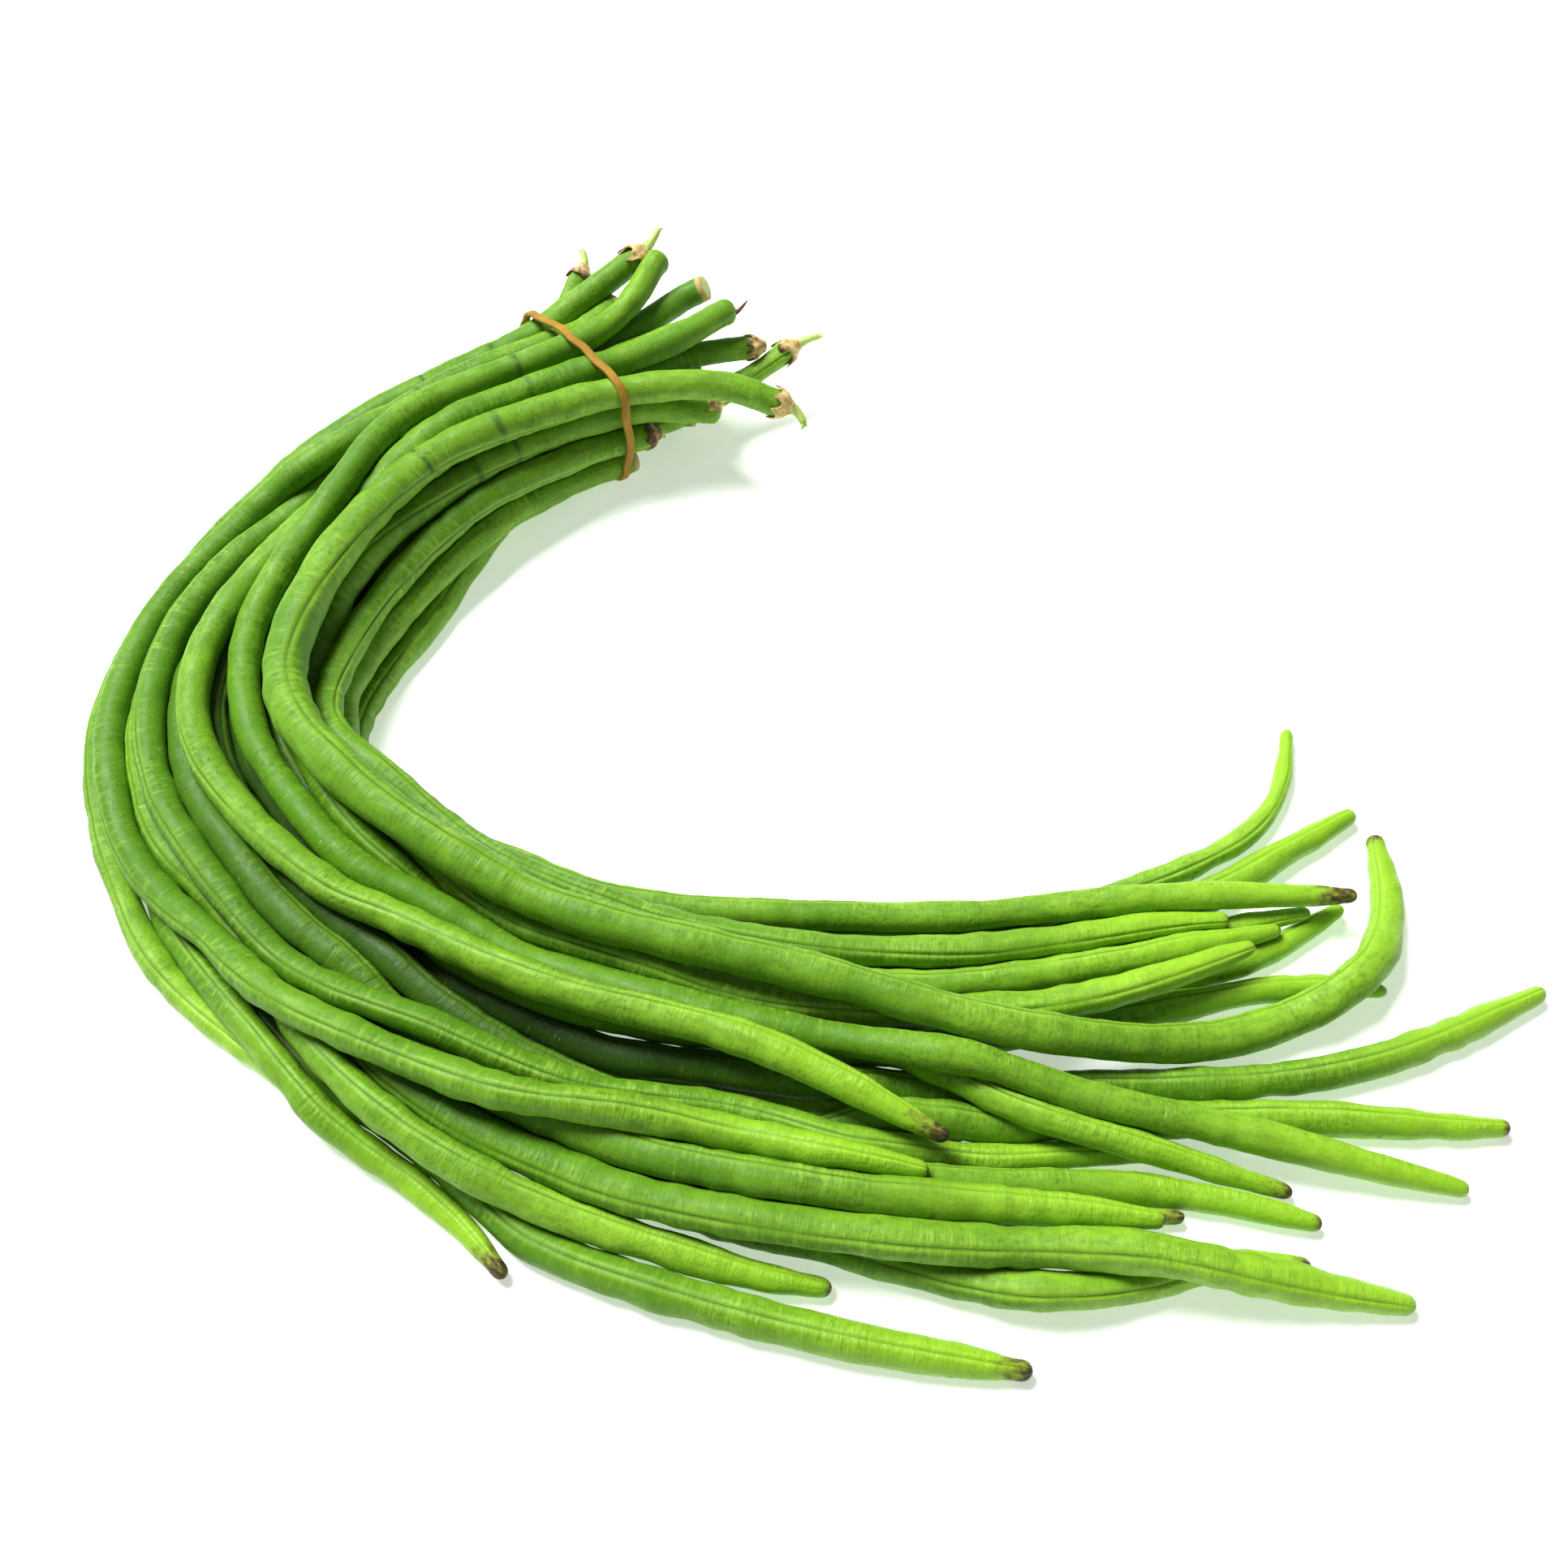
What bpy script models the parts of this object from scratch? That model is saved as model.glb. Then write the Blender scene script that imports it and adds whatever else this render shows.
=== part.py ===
"""A bunch of yardlong beans, tied near its stem end with one rubber band and lying on a table.

The bunch bends once, so its own line is a run of arcs on the table.  Each pod keeps a lane: how
far it lies from that line, and in which layer, at a few places along it.  The lanes are only
roughly clear of each other; spread_apart() moves the pods until all of them are.
Lengths are in millimetres until build_mesh(), which turns them to metres.
"""
import math

import bmesh
import bpy
import numpy as np
from mathutils import Vector

MM = 0.001

# The line of the bunch: it starts at the band and turns left.  (length, turn in degrees)
LINE_HEADING = 209.0
LINE_ARCS = [(20, 2), (80, 28), (40, 16), (60, 55), (120, 33), (160, 16), (120, 2)]

CURVE_SAMPLES = 12      # points of the smooth curve from each row of a lane to the next
GAP = 0.50              # clearance kept between any two pods
SAMPLE_STEP = 5.0       # distance between the points that spread_apart() moves
NEARBY = 6.0            # points with at most this much air between them are compared
ABREAST = 3.25          # two points are side by side if at most this far apart lengthwise
COMPARE_EVERY = 10      # rounds between two searches for nearby points

# The stages of spread_apart(): (rounds, times a push is smoothed along its pod, sinking in mm,
# share of the way back to the lane, share of a kink that is straightened) in each round.
SPREAD_STAGES = [(160, 3, 0.04, 0.04, 0.5), (160, 1, 0.01, 0.01, 0.5), (80, 0, 0.0, 0.0, 0.1)]
PUSH_SHARE = 0.4        # each of two touching pods moves by this share of what they lack

SIDES = 8               # of a pod's cross-section
LONG_STEP = 30.0        # distance between rings on a straight stretch
TURN_STEP = 0.32        # radians of bend between rings

STEM_TAPER = 30.0       # the pod thins towards its stem over this length
STEM_SHARE = 0.92       # and ends at this share of its thickness
TIP_TAPER = 45.0
TIP_SHARE = 0.50
TIP_RINGS = np.array([12.0, 4.0])  # extra rings this far before the tip
TIP_CAP = (0.7, 0.6)    # a last small ring: reach and radius as shares of the tip's radius
WIDE_AT = [60, 190, 330]  # where the thickness at the band, at the bend and in the fan counts

BAND_WIDTH = 2.2
BAND_THICKNESS = 1.0
BAND_CLEARANCE = 0.7    # between the pods' outlines and the band
BAND_SEGMENTS = 80
BAND_OUTLINE_SIDES = 48  # points round each pod for the outline that the band is stretched over
BAND_SLANT = -0.16      # how far the band runs back along the bunch, per mm across it
BAND_LEAN = -0.10       # and per mm of height
BAND_MIDDLE = (-6.0, 22.0)  # across and height of its middle
BAND_REACH = 60.0       # no pod farther than this from the tie runs through the band
BAND_ROOM = (30.0, 60.0)  # the pods are lifted off the table up to here, and fade down over this

POD_COLOUR = (0.20, 0.45, 0.05, 1)
POD_ROUGHNESS = 0.45
BAND_COLOUR = (0.55, 0.32, 0.10, 1)
BAND_ROUGHNESS = 0.6

# What is left on a pod's stem end: (distance out from the pod, radius as a share of the pod's
# end) for each ring beyond it.
STEM_ENDS = {
    "stalk": [(0.8, 1.06), (3.0, 0.78), (4.4, 0.36), (10.0, 0.26), (13.0, 0.34)],
    "hook": [(1.2, 0.80), (2.6, 0.36), (6.0, 0.22)],
    "cut": [(0.6, 1.04), (1.4, 0.80)],
}

STEM_POINT = 0.4        # the closing point beyond the last of those rings

# Heights are given in layers.  Layer 0 lies on the table, and each next one nests in the last.
FIRST_LAYER = 4.3
LAYER_RISE = 7.5

# Every pod: its thickness at the band, at the bend and in the fan, what its stem end keeps, and
# its lane as (along the bunch, towards the inside of the bend, layer).
PODS = {
    # The outer side of the bend.
    "pod_01": ((8.6, 8.6, 7.9), "stalk", [
        (-37, -31.5, 4.9), (-20, -27.5, 4.2), (0, -24.5, 3.3), (30, -25, 3.1), (60, -28.5, 2.8),
        (80, -34, 2), (100, -39, 1), (120, -42, 0.3), (160, -42, 0), (200, -43, 0), (262, -47, 0)]),
    "pod_02": ((7.6, 8.2, 7.5), "stalk", [
        (-21, -44, 3.4), (0, -28, 2.2), (50, -29, 1.2), (100, -33, 0), (150, -36, 0),
        (190, -35.5, 0), (260, -44, 0.5), (300, -53, 0), (314, -64, 0)]),
    "pod_03": ((8.6, 8.6, 8.7), "cut", [
        (-25, -25, 3.6), (0, -18.5, 3.3), (60, -18, 3.4), (80, -19, 3.1), (100, -27, 2.1),
        (120, -37, 1.4), (160, -37, 1.2), (200, -32, 1.2), (260, -31, 2.6), (300, -30, 2.8),
        (360, -23, 1.8), (401, -22, 1.4)]),
    "pod_04": ((7.2, 7.9, 9.5), "cut", [
        (-40, -18, 1), (0, -27, 1), (50, -24, 0), (100, -23, 0), (150, -24, 0),
        (190, -26, 0), (260, -42, 0.6), (300, -50, 0.5), (360, -59, 0), (428, -61.5, 0)]),
    "pod_05": ((7.2, 8.9, 7.5), "cut", [
        (-22, -12, 2), (0, -14, 2), (50, -14, 2.4), (90, -20, 2.3), (120, -24, 2.2),
        (150, -26, 2), (200, -22, 2), (260, -22, 2.2), (300, -21, 2.2), (360, -12, 0.8),
        (459, -5, 0)]),
    "pod_06": ((7.2, 7.9, 9.1), "cut", [
        (-40, -20, 2), (0, -22.5, 2), (50, -22, 1.6), (100, -14, 0), (150, -15.5, 0),
        (190, -17, 0), (300, -33, 0), (360, -36, 0), (430, -39, 0), (492, -34, 0)]),
    "pod_07": ((7.2, 7.9, 8.7), "cut", [
        (-38, -10, 1), (0, -18.5, 1), (50, -15, 1), (100, -22, 1), (150, -28, 1),
        (190, -25, 1), (260, -34, 1.3), (300, -45, 1.1), (360, -50, 0.3), (383, -49, 0)]),
    "pod_08": ((7.2, 7.9, 9.9), "cut", [
        (-40, -4, 1), (0, -10, 1), (50, -7, 1), (100, -13, 1), (150, -19.5, 1),
        (190, -15, 1), (300, -34, 1.2), (360, -36, 1.2), (460, -35.5, 0.8), (515, -42, 0)]),
    "pod_09": ((8.6, 7.9, 9.1), "cut", [
        (-53, -17, 3.8), (-25, -13, 3.3), (0, -10, 3), (50, -9, 2.6), (100, -12, 2.2),
        (150, -16, 2), (190, -14, 2), (300, -28, 2), (360, -32, 1.8), (457, -25, 1)]),
    # The middle of the bend.
    "pod_10": ((8.6, 9.1, 8.7), "cut", [
        (-42, -3, 3.4), (-20, -3, 3.4), (0, -2, 3.2), (50, -3, 3.3), (100, -5, 3.3),
        (120, -8, 3.1), (150, -11, 3.1), (200, -9, 3), (260, -1, 3.2), (300, 0, 3.2),
        (360, 1, 2.8), (405, -11, 1.9)]),
    "pod_11": ((8.2, 8.6, 8.3), "hook", [
        (-40, -25, 5), (-25, -13, 4.6), (0, -9, 4.1), (60, -9, 4.4), (80, -2, 4.3),
        (100, 0, 4), (140, 0, 3.4), (160, 4, 3.2), (200, 5, 3.2), (260, 7, 2.4), (300, 9, 2),
        (360, 10, 2), (460, 1.5, 1.2), (534, -13, 0)]),
    "pod_12": ((7.2, 7.9, 7.9), "cut", [
        (-36, -6, 2), (0, -5.5, 2), (50, -5, 1.8), (100, -4, 1), (150, -11, 1),
        (190, -6, 1), (300, -20, 1), (360, -25, 0.8), (460, -15, 0), (496, -22, 0)]),
    "pod_13": ((7.6, 7.9, 8.7), "cut", [
        (-58, 9.5, 2.8), (-44, 5, 3), (0, 7, 3), (50, 5, 2.8), (100, -3, 2.2), (150, -7, 2),
        (190, -5, 2), (300, -12, 1), (360, -15, 0.2), (400, -6, 0.5), (460, 5, 0),
        (548, 3, 0)]),
    "pod_14": ((7.2, 7.9, 6.3), "cut", [
        (-33, -15, 0), (0, -23, 0), (50, -15.5, 0), (100, -5.5, 0), (150, -7, 0),
        (190, -8, 0), (300, -26, 0), (360, -30, 0), (405, -33, 0), (438, -43, 0)]),
    "pod_15": ((7.2, 7.9, 6.3), "cut", [
        (-38, -7, 0), (0, -14.5, 0), (50, -7, 0), (100, 3, 0), (150, 1.5, 0),
        (190, 1, 0), (300, -17, 0), (360, -24, 0), (463, -21, 0)]),
    "pod_16": ((7.2, 7.9, 7.1), "cut", [
        (-40, 5, 1), (0, -1.5, 1), (50, 2, 1), (100, 5, 1), (150, -2.5, 1),
        (190, 3, 1), (300, 1, 2), (360, 8, 0.9), (450, -5, 0.7), (490, -14, 0)]),
    "pod_17": ((7.2, 7.9, 8.7), "cut", [
        (-40, 4, 2), (0, 3, 2), (50, 4, 1.9), (100, 6, 2), (150, 2, 2),
        (190, 4, 2), (300, -5, 1), (360, 0, 1), (460, 11, 0), (520, 21, 0), (567, 40.5, 0)]),
    "pod_18": ((7.2, 7.9, 7.1), "cut", [
        (-37, 0, 0), (0, -6, 0), (50, 2, 0), (100, 12, 0), (150, 10, 0),
        (190, 10, 0), (300, -4, 0), (360, -4, 0), (411, -3, 0)]),
    # The inner side of the bend.
    "pod_19": ((9.1, 12.3, 9.9), "stalk", [
        (-51, 41, 3.4), (-43, 33, 4), (-32, 27.5, 4.2), (-20, 23, 4.2), (0, 15, 4),
        (21, 16, 4.4), (60, 12, 4.6), (100, 15, 4.5), (150, 17, 4.3), (200, 17, 4.2),
        (260, 20, 3.8), (300, 20, 3.4), (360, 23, 3.1), (430, 19, 2), (480, 26, 0.4),
        (521, 46, 0), (533, 71, 0), (533, 88, 0)]),
    "pod_20": ((8.6, 8.6, 7.5), "hook", [
        (-51, 3, 4.4), (-29, 6, 4.3), (0, 5, 4), (50, 2, 4.3), (100, 6, 3.4), (150, 15, 2.9),
        (190, 15, 3), (260, 13, 1.4), (360, 12, 0), (460, 39, 0), (525, 43, 0)]),
    "pod_21": ((8.6, 8.6, 8.3), "hook", [
        (-33, 25.5, 2.4), (-20, 21, 2.7), (0, 16, 2.9), (50, 18, 3.2), (100, 16, 3),
        (150, 20.5, 2), (190, 20, 1.9), (260, 17, 1.9), (300, 15, 1.8), (360, 19, 1.5),
        (430, 28, 1.6), (487, 48, 1.5)]),
    "pod_22": ((7.8, 7.9, 7.9), "stalk", [
        (-69, 14, 2.4), (-45, 14, 1.8), (-22, 12, 1.3), (0, 14.5, 1), (50, 17, 1), (100, 22, 1),
        (150, 15, 1), (190, 15, 1), (300, 20, 1), (360, 26, 1), (460, 47, 0.5), (497, 57, 0.3)]),
    "pod_23": ((7.2, 7.9, 7.9), "cut", [
        (-34, 13, 1), (0, 7, 1), (50, 10, 1), (100, 13, 1), (150, 6, 1),
        (190, 9, 1), (300, 16, 0), (360, 19, 0), (460, 43, 0), (517, 66, 0)]),
    "pod_24": ((7.2, 7.9, 7.9), "cut", [
        (-37, 17, 2), (0, 11.5, 2), (50, 14, 2.1), (100, 15, 2), (150, 11, 2),
        (190, 13, 2), (300, 27, 0.6), (360, 29, 0.4), (460, 53, 0), (506, 63, 0.5)]),
    "pod_25": ((8.6, 8.4, 7.9), "stalk", [
        (-13, 19, 1.8), (0, 18, 1.8), (20, 21, 2.1), (60, 24.5, 2.3), (100, 25, 2.3),
        (150, 26, 2.4), (200, 22, 2.5), (260, 28, 2.4), (300, 31, 2), (360, 35, 1.6),
        (460, 53, 1.1), (482, 58, 1)]),
    "pod_26": ((8.6, 8.2, 7.5), "cut", [
        (-8, 14, 0.8), (0, 15, 0.8), (20, 19, 0.9), (60, 26, 1.1), (100, 29, 1.2),
        (150, 28, 1.2), (200, 26.5, 1.2), (260, 33, 1.2), (300, 36.5, 1), (360, 46, 0.4),
        (460, 64, 1.2), (518, 66, 1.2)]),
    "pod_27": ((7.2, 7.9, 8.7), "cut", [
        (-33, 8, 0), (0, 2.5, 0), (50, 11, 0), (100, 21, 0), (150, 19, 0),
        (190, 18, 0), (300, 30, 0), (360, 36, 0), (460, 60, 0), (526, 97, 0)]),
    "pod_28": ((8.2, 8.2, 6.3), "cut", [
        (-8, 7, 0), (20, 13, 0), (60, 26, 0), (100, 34, 0), (150, 31, 0), (200, 26, 0),
        (300, 39, 0), (360, 43, 0), (460, 73, 0), (504, 98, 0), (513, 125, 0)]),
}


# ---- the lanes as curves ----

def bunch_line():
    """Points 1 mm apart on the bunch's own line, and its heading at each."""
    heading = math.radians(LINE_HEADING)
    points, headings = [np.zeros(2)], [heading]
    for length, turn in LINE_ARCS:
        for _ in range(length):
            heading += math.radians(turn) / length
            points.append(points[-1] + (math.cos(heading), math.sin(heading)))
            headings.append(heading)
    return np.array(points), np.array(headings)


def on_table(line, along, across):
    """Where on the table a lane's (along, across) lies; past the line's ends it goes straight on."""
    points, headings = line
    inside = np.clip(along, 0, len(points) - 1)
    steps = np.arange(len(points))
    heading = np.interp(inside, steps, headings)
    ahead = np.stack([np.cos(heading), np.sin(heading)], axis=1)
    left = np.stack([-np.sin(heading), np.cos(heading)], axis=1)
    base = np.stack([np.interp(inside, steps, points[:, k]) for k in range(2)], axis=1)
    return base + ahead * (along - inside)[:, None] + left * across[:, None]


def smooth_through(rows):
    """A Catmull-Rom curve through the rows, with the knots spaced by their distances."""
    rows = np.array(rows, float)
    ends = [2 * rows[0] - rows[1], *rows, 2 * rows[-1] - rows[-2]]
    rows = np.array(ends)
    knots = np.concatenate([[0], np.cumsum(np.linalg.norm(np.diff(rows, axis=0), axis=1) ** 0.5)])
    curve = []
    for i in range(1, len(rows) - 2):
        a, b, c, d = rows[i - 1:i + 3]
        ta, tb, tc, td = knots[i - 1:i + 3]
        slope_b = (tc - tb) * ((b - a) / (tb - ta) - (c - a) / (tc - ta) + (c - b) / (tc - tb))
        slope_c = (tc - tb) * ((c - b) / (tc - tb) - (d - b) / (td - tb) + (d - c) / (td - tc))
        for u in np.arange(CURVE_SAMPLES) / CURVE_SAMPLES:
            curve.append((2 * u**3 - 3 * u**2 + 1) * b + (u**3 - 2 * u**2 + u) * slope_b
                         + (3 * u**2 - 2 * u**3) * c + (u**3 - u**2) * slope_c)
    return np.array(curve + [rows[-2]])


def distance_along(points):
    return np.concatenate([[0], np.cumsum(np.linalg.norm(np.diff(points, axis=0), axis=1))])


def evenly(points, count):
    along = distance_along(points)
    at = np.linspace(0, along[-1], count)
    return np.stack([np.interp(at, along, points[:, k]) for k in range(3)], axis=1)


def centreline(line, lane):
    """A pod's middle line in millimetres, with a point about every SAMPLE_STEP."""
    curve = smooth_through([(a, b, FIRST_LAYER + LAYER_RISE * layer) for a, b, layer in lane])
    flat = on_table(line, curve[:, 0], curve[:, 1])
    points = np.column_stack([flat, curve[:, 2]])
    return evenly(points, int(distance_along(points)[-1] / SAMPLE_STEP) + 1)


def radii_along(points, thickness):
    """The pod's radius at each point: thinner at the stem, drawn out towards the tip."""
    along = distance_along(points)
    body = np.interp(along, WIDE_AT, thickness) / 2
    stem = STEM_SHARE + (1 - STEM_SHARE) * np.clip(along / STEM_TAPER, 0, 1)
    left = np.clip(1 - (along[-1] - along) / TIP_TAPER, 0, 1)
    return body * stem * (1 - (1 - TIP_SHARE) * left**2)


# ---- making the pods clear of each other ----

def neighbours(points, owner, radius):
    """Pairs of points on different pods that are near enough to touch."""
    reach = radius[:, None] + radius[None, :] + NEARBY
    squared = ((points[:, None, :] - points[None, :, :]) ** 2).sum(axis=2)
    return np.nonzero((squared < reach**2) & (owner[:, None] != owner[None, :]))


def lowest_heights(points, radius):
    """How low each point may lie: on the flat side of its ring, or over the band at the tie."""
    flat = math.cos(math.pi / SIDES) * radius
    clear, fade_length = BAND_ROOM
    fade = np.clip(1 - (np.linalg.norm(points[:, :2], axis=1) - clear) / fade_length, 0, 1)
    return flat + fade**2 * (3 - 2 * fade) * (radius - flat + BAND_CLEARANCE + BAND_THICKNESS)


def spread_apart(lines, radii):
    """Moves the pods' middle lines until every two pods are GAP apart and all lie on the table.

    Each round pushes touching pods away from each other, smooths that push along the pod, lets
    the pods sink a little and eases them back towards their lanes.  The last stage only clears
    what still touches.
    """
    points = np.concatenate(lines)
    radius = np.concatenate(radii)
    owner = np.repeat(np.arange(len(lines)), [len(line) for line in lines])
    index = np.arange(len(points))
    same_before = np.concatenate([[False], owner[1:] == owner[:-1]])
    same_after = np.concatenate([owner[1:] == owner[:-1], [False]])
    before = np.where(same_before, index - 1, index)
    after = np.where(same_after, index + 1, index)
    inner = (same_before & same_after)[:, None]
    lanes = points.copy()
    lowest = lowest_heights(points, radius)
    stages = [stage[1:] for stage in SPREAD_STAGES for _ in range(stage[0])]
    for turn, (smoothings, sinking, easing, straightening) in enumerate(stages):
        if turn % COMPARE_EVERY == 0:
            first, second = neighbours(points, owner, radius)
        tangent = points[after] - points[before]
        tangent /= np.linalg.norm(tangent, axis=1, keepdims=True)
        between = points[first] - points[second]
        lengthwise = (between * tangent[second]).sum(axis=1)
        sideways = between - lengthwise[:, None] * tangent[second]
        distance = np.linalg.norm(sideways, axis=1) + 1e-9
        short = radius[first] + radius[second] + GAP - distance
        touching = (np.abs(lengthwise) < ABREAST) & (short > 0)
        push = np.zeros_like(points)
        share = PUSH_SHARE * short[touching] / distance[touching]
        np.add.at(push, first[touching], sideways[touching] * share[:, None])
        for _ in range(smoothings):
            push = 0.5 * push + 0.25 * (push[before] + push[after])
        push[:, 2] -= sinking
        points = points + push + easing * (lanes - points)
        bend = np.where(inner, 0.5 * (points[before] + points[after]) - points, 0.0)
        kink = np.where(inner, bend - 0.5 * (bend[before] + bend[after]), 0.0)
        points = points + straightening * kink
        points[:, 2] = np.maximum(points[:, 2], lowest)
    ends = np.cumsum([len(line) for line in lines])[:-1]
    return np.split(points, ends)


# ---- objects ----

def material(name, colour, roughness):
    made = bpy.data.materials.new(name)
    made.use_nodes = True
    shader = made.node_tree.nodes["Principled BSDF"]
    shader.inputs["Base Color"].default_value = colour
    shader.inputs["Roughness"].default_value = roughness
    shader.inputs["Metallic"].default_value = 0
    return made


def ring_places(points):
    """Distances along the line at which to put rings, closer together where it bends."""
    along = distance_along(points)
    steps = np.diff(points, axis=0)
    steps /= np.linalg.norm(steps, axis=1, keepdims=True)
    turn = np.arccos(np.clip((steps[1:] * steps[:-1]).sum(axis=1), -1, 1))
    effort = np.diff(along) / LONG_STEP
    effort[1:] += turn / TURN_STEP
    total = np.concatenate([[0], np.cumsum(effort)])
    count = math.ceil(total[-1]) + 1
    return np.interp(np.linspace(0, total[-1], count), total, along)


def ring(centre, direction, radius):
    """SIDES points round the direction, with one flat side of the ring facing down."""
    direction = direction / np.linalg.norm(direction)
    side = np.cross(direction, (0, 0, 1))
    side /= np.linalg.norm(side)
    up = np.cross(side, direction)
    angles = (np.arange(SIDES) + 0.5) * 2 * math.pi / SIDES
    return centre + radius * (np.cos(angles)[:, None] * side + np.sin(angles)[:, None] * up)


def pod_rings(points, radius, stem_end):
    """The rings of one pod from the tip of its stalk to its own tip, and its two end points."""
    along = distance_along(points)
    places = np.union1d(ring_places(points), along[-1] - TIP_RINGS)
    centres = np.stack([np.interp(places, along, points[:, k]) for k in range(3)], axis=1)
    sizes = np.interp(places, along, radius)
    tangents = np.gradient(centres, places, axis=0)
    out = -tangents[0] / np.linalg.norm(tangents[0])
    rings = [ring(centres[0] + out * reach, -out, sizes[0] * share)
             for reach, share in reversed(STEM_ENDS[stem_end])]
    rings += [ring(c, t, s) for c, t, s in zip(centres, tangents, sizes)]
    tip = tangents[-1] / np.linalg.norm(tangents[-1])
    reach, share = TIP_CAP
    rings.append(ring(centres[-1] + tip * sizes[-1] * reach, tip, sizes[-1] * share))
    start = centres[0] + out * (STEM_ENDS[stem_end][-1][0] + STEM_POINT)
    return rings, start, centres[-1] + tip * sizes[-1]


def add_object(name, mesh_data, material, origin):
    """Turns a bmesh into a named object that stands at its own origin, in metres."""
    mesh = bpy.data.meshes.new(name)
    mesh_data.to_mesh(mesh)
    mesh_data.free()
    mesh.materials.append(material)
    mesh.shade_smooth()
    item = bpy.data.objects.new(name, mesh)
    item.location = Vector(origin) * MM
    bpy.context.scene.collection.objects.link(item)
    return item


def build_mesh(rings, origin, ends=None):
    """Joins the rings into a closed skin: capped by two end points, or back to the first ring."""
    made = bmesh.new()
    loops = [[made.verts.new(Vector(p - origin) * MM) for p in r] for r in rings]
    size = len(rings[0])
    pairs = list(zip(loops, loops[1:])) if ends else list(zip(loops, loops[1:] + loops[:1]))
    for near, far in pairs:
        for i in range(size):
            j = (i + 1) % size
            made.faces.new((near[i], near[j], far[j], far[i]))
    if ends:
        first, last = (made.verts.new(Vector(p - origin) * MM) for p in ends)
        for i in range(size):
            j = (i + 1) % size
            made.faces.new((first, loops[0][j], loops[0][i]))
            made.faces.new((last, loops[-1][i], loops[-1][j]))
    bmesh.ops.recalc_face_normals(made, faces=made.faces)
    return made


def hull(points):
    """The convex outline of points in a plane, anticlockwise."""
    points = sorted(map(tuple, points))
    halves = []
    for ordered in (points, points[::-1]):
        half = []
        for p in ordered:
            while len(half) > 1 and np.cross(np.subtract(half[-1], half[-2]),
                                             np.subtract(p, half[-2])) <= 0:
                half.pop()
            half.append(p)
        halves += half[:-1]
    return np.array(halves)


def band_offset(across, height):
    """How far along the bunch the slanting, leaning band lies at a place of its section."""
    middle_across, middle_height = BAND_MIDDLE
    return BAND_SLANT * (across - middle_across) + BAND_LEAN * (height - middle_height)


def band_rings(lines, radii):
    """The band's cross-sections: it is stretched round every pod that passes the tie."""
    heading = math.radians(LINE_HEADING)
    forward = np.array([math.cos(heading), math.sin(heading), 0])
    left = np.array([-math.sin(heading), math.cos(heading), 0])
    up = np.array([0, 0, 1.0])
    turns = np.linspace(0, 2 * math.pi, BAND_OUTLINE_SIDES, endpoint=False)
    round_it = np.stack([np.cos(turns), np.sin(turns)], axis=1)
    outline = []
    for points, radius in zip(lines, radii):
        near = np.linalg.norm(points[:, :2], axis=1) < BAND_REACH
        points, radius = points[near], radius[near]
        section = np.stack([points @ left, points[:, 2]], axis=1)
        beside = np.abs(points @ forward - band_offset(*section.T)) < BAND_WIDTH + SAMPLE_STEP
        for place, size in zip(section[beside], radius[beside]):
            outline.extend(place + (size + BAND_CLEARANCE) * round_it)
    loop = hull(np.array(outline))
    closed = np.column_stack([np.vstack([loop, loop[:1]]), np.zeros(len(loop) + 1)])
    loop = evenly(closed, BAND_SEGMENTS + 1)[:-1, :2]
    tangent = np.roll(loop, -1, axis=0) - np.roll(loop, 1, axis=0)
    tangent /= np.linalg.norm(tangent, axis=1, keepdims=True)
    outward = np.stack([tangent[:, 1], -tangent[:, 0]], axis=1)
    rings = []
    for place, away in zip(loop, outward):
        corners = []
        for side, depth in ((-1, 0), (1, 0), (1, 1), (-1, 1)):
            across, height = place + away * BAND_THICKNESS * depth
            along = band_offset(*place) + side * BAND_WIDTH / 2
            corners.append(across * left + height * up + along * forward)
        rings.append(np.array(corners))
    return rings


def main():
    for item in list(bpy.data.objects):
        bpy.data.objects.remove(item)
    line = bunch_line()
    lanes = [centreline(line, lane) for _, _, lane in PODS.values()]
    radii = [radii_along(points, pod[0]) for points, pod in zip(lanes, PODS.values())]
    lines = spread_apart(lanes, radii)

    pods = [pod_rings(points, radius, pod[1])
            for points, radius, pod in zip(lines, radii, PODS.values())]
    band = band_rings(lines, radii)
    corners = np.concatenate([np.concatenate(rings) for rings, _, _ in pods] + band)
    middle = (corners.min(axis=0) + corners.max(axis=0)) / 2
    floor = np.array([middle[0], middle[1], corners[:, 2].min()])

    skin = material("pod_skin", POD_COLOUR, POD_ROUGHNESS)
    rubber = material("band_rubber", BAND_COLOUR, BAND_ROUGHNESS)
    for name, (rings, start, tip) in zip(PODS, pods):
        add_object(name, build_mesh(rings, start, (start, tip)), skin, start - floor)
    centre = np.mean(np.concatenate(band), axis=0)
    add_object("rubber_band", build_mesh(band, centre), rubber, centre - floor)


main()
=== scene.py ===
import math

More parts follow.
